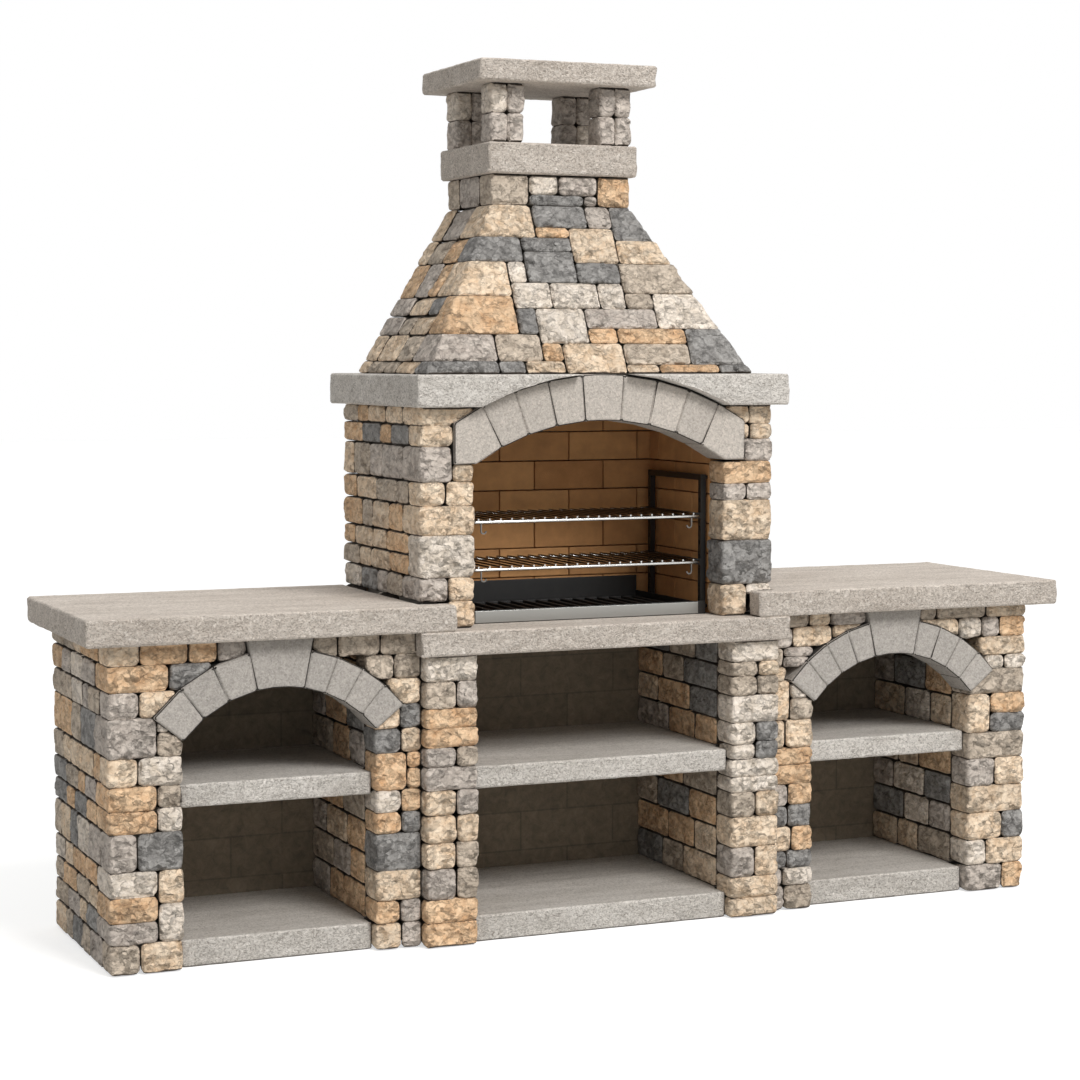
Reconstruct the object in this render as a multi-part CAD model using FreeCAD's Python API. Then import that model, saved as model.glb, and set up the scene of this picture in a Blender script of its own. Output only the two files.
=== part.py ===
import FreeCAD, Part
import math
import os

# A stone-built garden barbecue: a hooded firebox on a hearth, with a worktop unit on either side.
# Millimetres, +X to the right, +Z up, the cook on the -Y side, the origin under the middle of the footprint.
# Every wall is a cast core with split stones laid against it, the arches are rings of voussoirs that bear on
# the piers, and the two grates and the ember tray draw out towards the cook.

# Heights, from the floor up
PLINTH_HEIGHT = 72.0
SHELF_UNDERSIDE = 418.0
SHELF_THICKNESS = 60.0
WORKTOP_UNDERSIDE = 850.0
WORKTOP_THICKNESS = 70.0
HEARTH_THICKNESS = 65.0
FIREBOX_HEIGHT = 590.0
MANTEL_THICKNESS = 86.0
HOOD_RISE = 467.0
NECK_HEIGHT = 86.0
COLLAR_THICKNESS = 86.0
POST_HEIGHT = 163.0
CAP_THICKNESS = 60.0

# Widths, from the centre line out
CENTRE_BAY_WIDTH = 760.0
CENTRE_PIER_WIDTH = 150.0
INNER_PIER_WIDTH = 130.0
SIDE_BAY_WIDTH = 520.0
OUTER_PIER_WIDTH = 195.0
WORKTOP_END_OVERHANG = 65.0
WORKTOP_LAP = 80.0
HEARTH_LIP = 20.0
FIREBOX_STEP_IN = 8.0
FIREBOX_PIER_WIDTH = 156.0
MANTEL_END_OVERHANG = 25.0
HOOD_SIDE_SETBACK = 36.0
NECK_WIDTH = 426.0
COLLAR_OVERHANG = 14.0
CAP_OVERHANG = 40.0
POST_WIDTH = 102.0
POST_DEPTH = 86.0
POST_INSET = 12.0

# Depths, from the front edge of the worktops back
TOTAL_DEPTH = 740.0
CENTRE_PIER_SETBACK = 25.0
SIDE_PIER_SETBACK = 60.0
FIREBOX_SETBACK = 70.0
MANTEL_SETBACK = 20.0
MANTEL_BACK_OVERHANG = 40.0
HOOD_SETBACK = 95.0
HOOD_BACK_SETBACK = 54.0
NECK_DEPTH = 346.0
SHELF_SETBACK = 30.0
PLINTH_SETBACK = 35.0
BACK_PANEL_THICKNESS = 60.0
SIDE_PANEL_RECESS = 40.0

# Stonework
FRONT_STONE_DEPTH = 100.0
CLADDING = 45.0
QUOIN_LEG = 45.0
JOINT = 4.0
BED = 0.5
FLOOR_BED = 3.0
ARRIS = 7.0
SIDE_COURSE = 68.0
BAY_COURSE = 86.0
SIDE_STONE_LENGTHS = (150.0, 95.0, 125.0, 80.0, 140.0)
BAY_STONE_LENGTHS = (185.0, 120.0, 150.0)
SLAB_ARRIS = 5.0

# Arches
SIDE_ARCH_COVER = 29.0
SIDE_ARCH_RISE = 125.0
SIDE_ARCH_RING = 100.0
SIDE_KEY_WIDTH = 128.0
FIRE_ARCH_RISE = 112.0
FIRE_ARCH_RING = 126.0
FIRE_SPRINGER_BED = 62.0
FIRE_KEY_WIDTH = 106.0
ARCH_PROUD = 8.0
FIRE_STONES_EACH_SIDE = 4
SIDE_ARCH_STONE_COUNT = {"left": (3, 4), "right": (4, 4)}
KEY_FACETS = 3
ARCH_ARRIS = 3.0

# Firebrick lining
BRICK_LENGTH = 220.0
BRICK_HEIGHT = 82.0
BRICK_THICKNESS = 50.0
BRICK_JOINT = 3.0
LONGEST_CLOSER = 1.25
LINING_SETBACK = 8.0
FIREBOX_BACK_WALL = 90.0

# Hood and chimney
HOOD_CLADDING = 50.0
HOOD_SHELL = 40.0
HOOD_WALL_COUNT = 4
HOOD_LAYOUT_BASE = 492.0
HOOD_LAYOUT_NECK = 213.0
POST_COURSES = 2
POST_STONES_PER_COURSE = 2

# Grill ladders, one against each side of the lining
LADDER_BAR = 16.0
LADDER_HEIGHT = 392.0
LADDER_SETBACK = 8.0
LADDER_REAR_GAP = 42.0
SLOT_WIDTH = 6.0
SLOT_HEIGHT = 14.0
SLOT_PITCH = 40.0
SLOT_COUNT = 8
WALL_PIN_DIAMETER = 9.0
RAIL_SHEET = 3.0
RAIL_FLANGE = 16.0
UPPER_GRATE_HEIGHT = 276.0
LOWER_GRATE_HEIGHT = 146.0

# Grates
ROD_SIDES = 6
ROD_CORNER_BENDS = 3
GRATE_ROD = 9.0
GRATE_WIRE = 5.0
GRATE_WIRE_COUNT = 21
GRATE_CORNER = 22.0
GRATE_FRONT_OVERRUN = 16.0
GRATE_SIDE_PLAY = 3.0
GRATE_REAR_PLAY = 12.0
CATCH_WIRE = 4.0
CATCH_DROP = 20.0
CATCH_BEND = 7.0
CATCH_INSET = 34.0
RUNNING_CLEARANCE = 0.3

# Ember tray
TRAY_SHEET = 3.0
TRAY_LIP_HEIGHT = 36.0
TRAY_BACK_HEIGHT = 80.0
TRAY_SIDE_PLAY = 10.0
TRAY_FRONT_GAP = 20.0
TRAY_REAR_PLAY = 16.0
TRAY_FASCIA_END = 24.0
TRAY_FASCIA_MARGIN = 2.0
TRAY_FASCIA_SHEET = 2.0
EMBER_BAR = 10.0
EMBER_BAR_COUNT = 17
EMBER_FOOT_HEIGHT = 8.0
EMBER_MARGIN = 14.0

# Levels and faces that the sizes above settle
HEARTH_UNDERSIDE = WORKTOP_UNDERSIDE - HEARTH_THICKNESS
SHELF_TOP = SHELF_UNDERSIDE + SHELF_THICKNESS
MANTEL_UNDERSIDE = WORKTOP_UNDERSIDE + FIREBOX_HEIGHT
MANTEL_TOP = MANTEL_UNDERSIDE + MANTEL_THICKNESS
NECK_UNDERSIDE = MANTEL_TOP + HOOD_RISE
COLLAR_UNDERSIDE = NECK_UNDERSIDE + NECK_HEIGHT
COLLAR_TOP = COLLAR_UNDERSIDE + COLLAR_THICKNESS
CAP_UNDERSIDE = COLLAR_TOP + POST_HEIGHT
CENTRE_BAY = CENTRE_BAY_WIDTH / 2
CENTRE_OUTER = CENTRE_BAY + CENTRE_PIER_WIDTH
SIDE_BAY_INNER = CENTRE_OUTER + INNER_PIER_WIDTH
SIDE_BAY_OUTER = SIDE_BAY_INNER + SIDE_BAY_WIDTH
SIDE_OUTER = SIDE_BAY_OUTER + OUTER_PIER_WIDTH
SIDE_BAY_CENTRE = (SIDE_BAY_INNER + SIDE_BAY_OUTER) / 2
FIREBOX_INNER = CENTRE_BAY - FIREBOX_STEP_IN
FIREBOX_OUTER = FIREBOX_INNER + FIREBOX_PIER_WIDTH
HOOD_BASE = FIREBOX_OUTER - HOOD_SIDE_SETBACK
WORKTOP_FRONT = -TOTAL_DEPTH / 2
BACK = TOTAL_DEPTH / 2 - MANTEL_BACK_OVERHANG
CENTRE_FRONT = WORKTOP_FRONT + CENTRE_PIER_SETBACK
SIDE_FRONT = WORKTOP_FRONT + SIDE_PIER_SETBACK
FIREBOX_FRONT = WORKTOP_FRONT + FIREBOX_SETBACK
FIREBOX_STONE_BACK = FIREBOX_FRONT + FRONT_STONE_DEPTH
LINING_FACE = FIREBOX_INNER + LINING_SETBACK
BACK_CORE_FACE = BACK - FIREBOX_BACK_WALL
LINING_BACK = BACK_CORE_FACE - BRICK_THICKNESS

# Layouts of the stones seen from the front, as proportions.
# A pier goes course by course from the bottom: a course is its height and its stones from left to right, and
# a stone is its width, or its width and the heights of the thinner stones that fill its place. Upper courses
# run from the pier's edge to the middle of the arch. On the hood, a stone is its left and right joints from
# the centre line, then its foot and its head, and None stands for the corner that it turns.
LAYOUTS = {
    "left_outer": [
        (79, [105, 150]),
        (190, [(168, (70, 82, 84)), (87, (120, 105))]),
        (100, [98, 156]),
        (123, [(168, (75, 80)), (87, (75, 70))]),
        (75, [103, 152]),
        (103, [168, (87, (73, 45))]),
    ],
    "left_outer_upper": [
        (70, [103, 130, 327]),
        (71, [200, 140, 220]),
        (60, [107, 157, 93, 96, 107]),
    ],
    "left_inner_upper": [
        (70, [345, 115]),
        (68, [282, 93, 90]),
        (63, [108, 82, 140, 135]),
    ],
    "left_inner": [
        (70, [93, 72]),
        (62, [88, 75]),
        (80, [1]),
        (101, [1]),
        (58, [93, 70]),
        (60, [93, 72]),
        (100, [115, (52, (67, 50))]),
        (66, [95, 72]),
        (66, [88, 72]),
    ],
    "centre_left": [
        (128, [(1, (65, 63))]),
        (84, [125, 90]),
        (71, [125, 92]),
        (74, [128, 90]),
        (68, [126, 90]),
        (63, [1]),
        (53, [126, 90]),
        (105, [(1, (52, 53))]),
        (73, [128, 90]),
        (71, [1]),
    ],
    "centre_right": [
        (114, [(1, (55, 59))]),
        (86, [85, 82]),
        (86, [1]),
        (71, [87, 80]),
        (94, [(1, (44, 50))]),
        (105, [(87, (43, 62)), (80, (50, 55))]),
        (77, [1]),
        (55, [92, 75]),
        (41, [95, 72]),
        (62, [1]),
    ],
    "right_inner": [
        (67, [43, 98]),
        (47, [40, 105]),
        (48, [52, 88]),
        (67, [66, 71]),
        (119, [(55, (85, 88)), (85, (87, 83))]),
        (99, [(1, (52, 47))]),
        (77, [46, 98]),
        (108, [62, (83, (82, 68))]),
    ],
    "right_inner_upper": [
        (41, [62, 486]),
        (60, [46, (135, (38, 34)), 367]),
        (62, [90, 180, 278]),
        (43, [165, 97, 165, 121]),
    ],
    "right_outer_upper": [
        (54, [375, 83, 85]),
        (70, [365, 182]),
        (76, [270, 95, 75, 107]),
        (49, [180, 203, 164]),
    ],
    "right_outer": [
        (72, [126, 72]),
        (70, [68, 130]),
        (75, [125, 77]),
        (75, [1]),
        (77, [95, 102]),
        (72, [1]),
        (108, [78, (120, (73, 76))]),
        (68, [1]),
    ],
    "firebox_left": [
        (72, [80, 78]),
        (62, [80, 75]),
        (111, [1]),
        (76, [1]),
        (63, [73, 81]),
        (92, [93, 63]),
        (55, [1]),
        (48, [1]),
    ],
    "firebox_right": [
        (87, [66, (70, (60, 32))]),
        (121, [1]),
        (111, [1]),
        (46, [68, 70]),
        (61, [1]),
        (61, [66, 90]),
        (42, [85, 71]),
        (52, [83, 73]),
    ],
    "hood": [
        (None, -275, 0, 34),
        (-275, -198, 0, 34),
        (-198, -80, 0, 34),
        (-80, 103, 0, 82),
        (103, 203, 0, 24),
        (203, 388, 0, 24),
        (388, None, 0, 24),
        (None, -275, 34, 107),
        (-275, -141, 34, 107),
        (-141, -80, 34, 82),
        (103, 305, 24, 82),
        (305, None, 24, 124),
        (None, -198, 107, 212),
        (-198, -141, 107, 178),
        (-141, 7, 82, 178),
        (7, 94, 82, 124),
        (94, 305, 82, 124),
        (7, 225, 124, 178),
        (225, None, 124, 222),
        (-198, -84, 178, 249),
        (-84, 61, 178, 249),
        (61, 140, 178, 249),
        (140, 225, 178, 222),
        (None, -198, 212, 307),
        (-198, -144, 249, 307),
        (-144, 7, 249, 337),
        (7, 140, 249, 306),
        (140, None, 222, 306),
        (None, -144, 307, 376),
        (-144, 7, 337, 376),
        (7, 145, 306, 405),
        (145, None, 306, 372),
        (None, -94, 376, 467),
        (-94, 7, 376, 405),
        (-94, 70, 405, 467),
        (70, 145, 405, 467),
        (145, None, 372, 467),
    ],
    "neck": [
        (None, -99, 0, 86),
        (-99, 70, 0, 30),
        (70, 112, 0, 30),
        (-99, -9, 30, 86),
        (-9, 112, 30, 86),
        (112, None, 0, 86),
    ],
}

# Limits for telling faces apart and for leaving out slivers of stone
ON_FACE = 0.01
SMALLEST_CUT_STONE = 0.12


def box(x_span, y_span, z_span):
    """Returns a block between three pairs of faces, each pair given in either order."""
    low = [min(span) for span in (x_span, y_span, z_span)]
    size = [max(span) - min(span) for span in (x_span, y_span, z_span)]
    return Part.makeBox(*size, FreeCAD.Vector(*low))


def mirrored(side, near, far):
    """Returns the span between two distances from the centre line, on the left (-1) or the right (1)."""
    return tuple(sorted((side * near, side * far)))


def outline(points, z):
    """Returns a closed level wire through plan points."""
    corners = [FreeCAD.Vector(x, y, z) for x, y in points]
    return Part.makePolygon(corners + corners[:1])


def prism(points, z_span):
    """Raises a plan outline between two levels."""
    rise = FreeCAD.Vector(0, 0, z_span[1] - z_span[0])
    return Part.Face(outline(points, z_span[0])).extrude(rise)


def stacked(plans, levels):
    """Joins plan outlines with as many corners at rising levels by flat faces, and closes both ends."""
    rings = [[FreeCAD.Vector(x, y, z) for x, y in plan] for plan, z in zip(plans, levels)]
    walls = []
    for low, high in zip(rings, rings[1:]):
        for number in range(len(low)):
            walls.append([low[number - 1], low[number], high[number], high[number - 1]])
    faces = [Part.Face(Part.makePolygon(corners + corners[:1])) for corners in [rings[0], rings[-1]] + walls]
    return Part.Solid(Part.Shell(faces))


def rod_section(diameter):
    """Returns the corners of a rod's section as (across, up), with a flat on top and one underneath."""
    corner = diameter / 2 / math.cos(math.pi / ROD_SIDES)
    turns = [2 * math.pi * number / ROD_SIDES for number in range(ROD_SIDES)]
    return [(corner * math.cos(turn), corner * math.sin(turn)) for turn in turns]


def straight_rod(start, end, diameter):
    """Returns a level rod between two points."""
    foot = FreeCAD.Vector(*start)
    along = FreeCAD.Vector(*end) - foot
    up = FreeCAD.Vector(0, 0, 1)
    across = along.cross(up).normalize()
    corners = [foot + across * x + up * z for x, z in rod_section(diameter)]
    return Part.Face(Part.makePolygon(corners + corners[:1])).extrude(along)


def lies_on(edge, plane):
    """Says whether a straight edge lies in a plane given as a point and a normal."""
    point, normal = plane
    ends = [vertex.Point for vertex in edge.Vertexes]
    straight = isinstance(edge.Curve, Part.Line)
    return straight and all(abs((end - point).dot(normal)) < ON_FACE for end in ends)


def dressed(solid, faces, arris):
    """Takes the sharp arris off the straight edges round the exposed faces."""
    edges = [edge for edge in solid.Edges if any(lies_on(edge, face) for face in faces)]
    return solid.makeChamfer(arris, edges)


def face_at(axis, value):
    """Returns the upright or level plane at one coordinate, as a point and a normal."""
    normal = FreeCAD.Vector(*[float(axis == name) for name in "xyz"])
    return normal * value, normal


def upright_faces(x_span, y_span):
    """Returns the four upright planes of a block."""
    return [face_at("x", x) for x in x_span] + [face_at("y", y) for y in y_span]


def shares(span, weights, joint):
    """Divides a span in proportion to weights, with half a joint drawn off at every inner division."""
    low, high = span
    scale = (high - low) / sum(weights)
    cuts = [low]
    for weight in weights:
        cuts.append(cuts[-1] + weight * scale)
    last = len(weights) - 1
    spans = []
    for number in range(len(weights)):
        start = cuts[number] + (joint / 2 if number else 0)
        end = cuts[number + 1] - (joint / 2 if number < last else 0)
        spans.append((start, end))
    return spans


def laid(x_span, z_span, courses):
    """Yields (course number, x span, z span, first, last) for each stone of a coursed front."""
    heights = [height for height, stones in courses]
    for number, (z_course, course) in enumerate(zip(shares(z_span, heights, BED), courses)):
        stones = [stone if isinstance(stone, tuple) else (stone, (1,)) for stone in course[1]]
        places = shares(x_span, [width for width, parts in stones], JOINT)
        for place, (x_stone, (width, parts)) in enumerate(zip(places, stones)):
            for z_stone in shares(z_course, parts, BED):
                yield number, x_stone, z_stone, place == 0, place == len(stones) - 1


def quoin(x_span, front, leg_low, leg_high):
    """Returns the plan of a front stone, with a leg back along the clad side of its pier where it has one."""
    low, high = x_span
    rear = front + FRONT_STONE_DEPTH
    points = [(low, front), (high, front)]
    if leg_high:
        points += [(high, rear + leg_high), (high - CLADDING, rear + leg_high), (high - CLADDING, rear)]
    else:
        points += [(high, rear)]
    if leg_low:
        points += [(low + CLADDING, rear), (low + CLADDING, rear + leg_low), (low, rear + leg_low)]
    else:
        points += [(low, rear)]
    return points


def front_stones(x_span, front, z_span, courses, clad=None, cutter=None):
    """Lays the front of a pier. Corner stones of alternate courses turn back further along the clad side."""
    stones = []
    for course, x_stone, z_stone, first, last in laid(x_span, z_span, courses):
        leg = leg_of(course)
        leg_low = leg if clad == "low" and first else 0
        leg_high = leg if clad == "high" and last else 0
        solid = prism(quoin(x_stone, front, leg_low, leg_high), z_stone)
        stones += cut_back(dressed(solid, [face_at("y", front)], ARRIS), cutter)
    return stones


def cut_back(stone, cutter):
    """Trims a stone to an arch, and leaves out what the arch takes whole or all but a sliver of."""
    if cutter is None:
        return [stone]
    kept = stone.cut(cutter)
    return [piece for piece in kept.Solids if piece.Volume > SMALLEST_CUT_STONE * stone.Volume]


def leg_of(course):
    """Returns how far the corner stones of a course turn back past the front stones."""
    return QUOIN_LEG if course % 2 else 0.0


def cycled(lengths, start, run):
    """Returns enough stone lengths, taken in turn from a starting place, to fill a run."""
    average = sum(lengths) / len(lengths)
    count = max(1, round(run / average))
    return [lengths[(start + number) % len(lengths)] for number in range(count)]


def side_row(face, inward, y_span, z_span, lengths, start):
    """Lays one row of stones on an upright side face, with their backs on the core."""
    stones = []
    run = y_span[1] - y_span[0]
    for y_stone in shares(y_span, cycled(lengths, start, run), JOINT):
        stones.append(box((face, face + inward * CLADDING), y_stone, z_span))
    return stones


def outer_side(face, inward, front, z_span, courses, first_course=0):
    """Clads the outside of a pier behind its corner stones, in rows that follow the courses of its front."""
    stones = []
    heights = [height for height, course in courses]
    for number, z_course in enumerate(shares(z_span, heights, JOINT)):
        start = front + FRONT_STONE_DEPTH + leg_of(number) + JOINT
        rows = max(1, round((z_course[1] - z_course[0]) / SIDE_COURSE))
        for row, z_row in enumerate(shares(z_course, [1] * rows, JOINT)):
            order = 2 * (first_course + number) + row
            stones += side_row(face, inward, (start, BACK), z_row, SIDE_STONE_LENGTHS, order)
    return stones


def bay_side(face, inward, front, panel_face, wall_top):
    """Clads a pier's side inside a bay, between plinth and shelf and from the shelf up."""
    stones = []
    y_span = (front + FRONT_STONE_DEPTH + JOINT, panel_face)
    for storey, z_storey in enumerate([(PLINTH_HEIGHT, SHELF_UNDERSIDE), (SHELF_TOP, wall_top)]):
        rows = max(1, round((z_storey[1] - z_storey[0]) / BAY_COURSE))
        for row, z_row in enumerate(shares(z_storey, [1] * rows, JOINT)):
            stones += side_row(face, inward, y_span, z_row, BAY_STONE_LENGTHS, storey + row)
    return stones


def bay_slab(half_bay, front, setback, ear_start, back, z_span, centre):
    """Returns a slab across a bay whose ears are built into the cladding of both piers."""
    wide = half_bay + CLADDING
    points = [
        (centre - half_bay, front + setback),
        (centre + half_bay, front + setback),
        (centre + half_bay, ear_start),
        (centre + wide, ear_start),
        (centre + wide, back),
        (centre - wide, back),
        (centre - wide, ear_start),
        (centre - half_bay, ear_start),
    ]
    return dressed(prism(points, z_span), [face_at("y", front + setback)], SLAB_ARRIS)


def arch_radius(half_span, rise):
    """Returns the radius of a segmental arch from half its span and its rise."""
    return (half_span ** 2 + rise ** 2) / (2 * rise)


def ring_point(centre, radius, angle, y):
    """Returns a point on an arch, with its angle measured from the crown."""
    return FreeCAD.Vector(centre[0] + radius * math.sin(angle), y, centre[1] + radius * math.cos(angle))


def key_turns(half_angle):
    """Returns the angles at which a keystone's curved faces change direction, from left to right."""
    return [half_angle * (2 * number / KEY_FACETS - 1) for number in range(KEY_FACETS + 1)]


def joint_turns(key_angle, end_angle, count):
    """Returns the angles of the joints on one side of an arch, from the keystone's down to the foot."""
    return [key_angle + (end_angle - key_angle) * number / count for number in range(count + 1)]


def arch_turns(left, right):
    """Returns the angles of all the joints of an arch with those of its keystone, from left to right."""
    return [-turn for turn in reversed(left[1:])] + key_turns(right[0]) + right[1:]


def upright_prism(points, y_span):
    """Extrudes an upright outline from front to back."""
    face = Part.Face(Part.makePolygon(points + points[:1]))
    return face.extrude(FreeCAD.Vector(0, y_span[1] - y_span[0], 0))


def slice_of_ring(centre, radii, turns, y_span):
    """Returns a block of an arch ring through the given angles, flat between one angle and the next."""
    soffit = [ring_point(centre, radii[0], turn, y_span[0]) for turn in turns]
    back = [ring_point(centre, radii[1], turn, y_span[0]) for turn in reversed(turns)]
    return upright_prism(soffit + back, y_span)


def tall_key(centre, radius, half_angle, top, y_span):
    """Returns a keystone whose sides run on up to a level top."""
    reach = (top - centre[1]) * math.tan(half_angle)
    soffit = [ring_point(centre, radius, turn, y_span[0]) for turn in key_turns(half_angle)]
    corners = [FreeCAD.Vector(centre[0] + side * reach, y_span[0], top) for side in (1, -1)]
    return upright_prism(soffit + corners, y_span)


def space_under(centre, radius, turns, y_span):
    """Returns the whole space between an arch's centre and its back."""
    hub = FreeCAD.Vector(centre[0], y_span[0], centre[1])
    return upright_prism([hub] + [ring_point(centre, radius, turn, y_span[0]) for turn in turns], y_span)


def export(name, solids):
    """Writes one node: a single solid, or a group of solids that stay separate."""
    solids = solids if isinstance(solids, list) else [solids]
    shape = solids[0] if len(solids) == 1 else Part.makeCompound(solids)
    shape.exportStep(f"parts/{name}.step")


os.makedirs("parts", exist_ok=True)

# Side units
# Two piers with a shelf between them, an arch over the opening, and a worktop lapping on to the hearth.
SIDE_ARCH_RADIUS = arch_radius(SIDE_BAY_WIDTH / 2, SIDE_ARCH_RISE)
SIDE_ARCH_ANGLE = math.asin(SIDE_BAY_WIDTH / 2 / SIDE_ARCH_RADIUS)
SIDE_KEY_ANGLE = math.asin(SIDE_KEY_WIDTH / 2 / SIDE_ARCH_RADIUS)
SIDE_ARCH_OUTER = SIDE_ARCH_RADIUS + SIDE_ARCH_RING
SIDE_ARCH_SPRING = WORKTOP_UNDERSIDE - SIDE_ARCH_COVER - SIDE_ARCH_RING - SIDE_ARCH_RISE
SIDE_ARCH_FRONT = SIDE_FRONT - ARCH_PROUD
SIDE_STONE_BACK = SIDE_FRONT + FRONT_STONE_DEPTH
SIDE_ARCH_SPAN = (SIDE_ARCH_FRONT, SIDE_STONE_BACK)
SIDE_PANEL_FACE = BACK - SIDE_PANEL_RECESS - BACK_PANEL_THICKNESS
CUT_SPAN = (-TOTAL_DEPTH, TOTAL_DEPTH)
UPPER_COURSES_FROM = SIDE_ARCH_SPRING + SIDE_ARCH_RING * math.cos(SIDE_ARCH_ANGLE)


def side_arch(centre_x, counts):
    """Returns the voussoirs with the keystone last, and the space that the stones round them keep clear."""
    centre = (centre_x, SIDE_ARCH_SPRING + SIDE_ARCH_RISE - SIDE_ARCH_RADIUS)
    radii = (SIDE_ARCH_RADIUS, SIDE_ARCH_OUTER)
    left, right = [joint_turns(SIDE_KEY_ANGLE, SIDE_ARCH_ANGLE, count) for count in counts]
    stones = []
    for side, turns in ((-1, left), (1, right)):
        for near, far in zip(turns, turns[1:]):
            stones.append(slice_of_ring(centre, radii, mirrored(side, near, far), SIDE_ARCH_SPAN))
    stones.append(tall_key(centre, SIDE_ARCH_RADIUS, SIDE_KEY_ANGLE, WORKTOP_UNDERSIDE, SIDE_ARCH_SPAN))
    stones = [dressed(stone, [face_at("y", SIDE_ARCH_FRONT)], ARCH_ARRIS) for stone in stones]
    ring_space = space_under(centre, SIDE_ARCH_OUTER + BED, arch_turns(left, right), CUT_SPAN)
    key_reach = SIDE_KEY_ANGLE + JOINT / SIDE_ARCH_OUTER
    key_space = tall_key(centre, SIDE_ARCH_RADIUS, key_reach, WORKTOP_UNDERSIDE, CUT_SPAN)
    return stones, ring_space.fuse(key_space)


def side_unit(name, side):
    """Builds one worktop unit, on the left (-1) or the right (1)."""
    bay_centre = side * SIDE_BAY_CENTRE
    wall = (0, WORKTOP_UNDERSIDE)
    stone_foot = (FLOOR_BED, UPPER_COURSES_FROM - BED / 2)
    stone_head = (UPPER_COURSES_FROM + BED / 2, WORKTOP_UNDERSIDE)
    core_depth = (SIDE_STONE_BACK, BACK)
    outer_clad = "low" if side < 0 else "high"
    arch, arch_space = side_arch(bay_centre, SIDE_ARCH_STONE_COUNT[name])

    lower = LAYOUTS[f"{name}_outer"]
    upper = LAYOUTS[f"{name}_outer_upper"]
    outer_span = mirrored(side, SIDE_BAY_OUTER, SIDE_OUTER)
    upper_span = mirrored(side, SIDE_BAY_CENTRE, SIDE_OUTER)
    stones = front_stones(outer_span, SIDE_FRONT, stone_foot, lower, outer_clad, arch_space)
    stones += front_stones(upper_span, SIDE_FRONT, stone_head, upper, outer_clad, arch_space)
    face = side * SIDE_OUTER
    stones += outer_side(face, -side, SIDE_FRONT, stone_foot, lower)
    stones += outer_side(face, -side, SIDE_FRONT, stone_head, upper, len(lower))
    stones += bay_side(side * SIDE_BAY_OUTER, side, SIDE_FRONT, SIDE_PANEL_FACE, WORKTOP_UNDERSIDE)
    export(f"{name}_outer_pier_stones", stones)
    core_span = mirrored(side, SIDE_BAY_OUTER + CLADDING, SIDE_OUTER - CLADDING)
    export(f"{name}_outer_pier_core", box(core_span, core_depth, wall))

    lower = LAYOUTS[f"{name}_inner"]
    upper = LAYOUTS[f"{name}_inner_upper"]
    inner_span = mirrored(side, CENTRE_OUTER, SIDE_BAY_INNER)
    upper_span = mirrored(side, CENTRE_OUTER, SIDE_BAY_CENTRE)
    stones = front_stones(inner_span, SIDE_FRONT, stone_foot, lower, None, arch_space)
    stones += front_stones(upper_span, SIDE_FRONT, stone_head, upper, None, arch_space)
    stones += bay_side(side * SIDE_BAY_INNER, -side, SIDE_FRONT, SIDE_PANEL_FACE, WORKTOP_UNDERSIDE)
    export(f"{name}_inner_pier_stones", stones)
    core_span = mirrored(side, CENTRE_OUTER, SIDE_BAY_INNER - CLADDING)
    export(f"{name}_inner_pier_core", box(core_span, core_depth, wall))

    export(f"{name}_arch_voussoirs", arch[:-1])
    export(f"{name}_arch_keystone", arch[-1])
    half_bay = SIDE_BAY_WIDTH / 2
    slab = (half_bay, SIDE_FRONT)
    rest = (SIDE_STONE_BACK + JOINT, SIDE_PANEL_FACE)
    shelf_levels = (SHELF_UNDERSIDE, SHELF_TOP)
    export(f"{name}_plinth_slab", bay_slab(*slab, PLINTH_SETBACK, *rest, (0, PLINTH_HEIGHT), bay_centre))
    export(f"{name}_shelf_slab", bay_slab(*slab, SHELF_SETBACK, *rest, shelf_levels, bay_centre))
    panel_span = mirrored(side, SIDE_BAY_INNER - CLADDING, SIDE_BAY_OUTER + CLADDING)
    panel_depth = (SIDE_PANEL_FACE, SIDE_PANEL_FACE + BACK_PANEL_THICKNESS)
    export(f"{name}_back_panel", box(panel_span, panel_depth, wall))
    export(f"{name}_worktop_slab", worktop(side))


def worktop(side):
    """Returns a worktop whose front strip laps over the hearth in front of the firebox pier."""
    far = side * (SIDE_OUTER + WORKTOP_END_OVERHANG)
    near = side * (FIREBOX_OUTER + JOINT)
    lap = side * (near * side - WORKTOP_LAP)
    notch = FIREBOX_FRONT - JOINT
    front_strip = [(far, WORKTOP_FRONT), (lap, WORKTOP_FRONT), (lap, notch)]
    points = front_strip + [(near, notch), (near, BACK), (far, BACK)]
    slab = prism(points, (WORKTOP_UNDERSIDE, WORKTOP_UNDERSIDE + WORKTOP_THICKNESS))
    exposed = [face_at("y", WORKTOP_FRONT), face_at("x", far), face_at("x", lap)]
    return dressed(slab, exposed, SLAB_ARRIS)


side_unit("left", -1)
side_unit("right", 1)

# Centre unit under the hearth
# Two piers, a plinth and a shelf, with the hearth slab bearing on the piers.
CENTRE_STONE_BACK = CENTRE_FRONT + FRONT_STONE_DEPTH
CENTRE_PANEL_FACE = BACK - BACK_PANEL_THICKNESS
for name, side in (("left", -1), ("right", 1)):
    pier_span = mirrored(side, CENTRE_BAY, CENTRE_OUTER)
    pier_height = (FLOOR_BED, HEARTH_UNDERSIDE)
    stones = front_stones(pier_span, CENTRE_FRONT, pier_height, LAYOUTS[f"centre_{name}"])
    stones += bay_side(side * CENTRE_BAY, side, CENTRE_FRONT, CENTRE_PANEL_FACE, HEARTH_UNDERSIDE)
    export(f"centre_{name}_pier_stones", stones)
    core_span = mirrored(side, CENTRE_BAY + CLADDING, CENTRE_OUTER)
    export(f"centre_{name}_pier_core", box(core_span, (CENTRE_STONE_BACK, BACK), (0, HEARTH_UNDERSIDE)))

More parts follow.
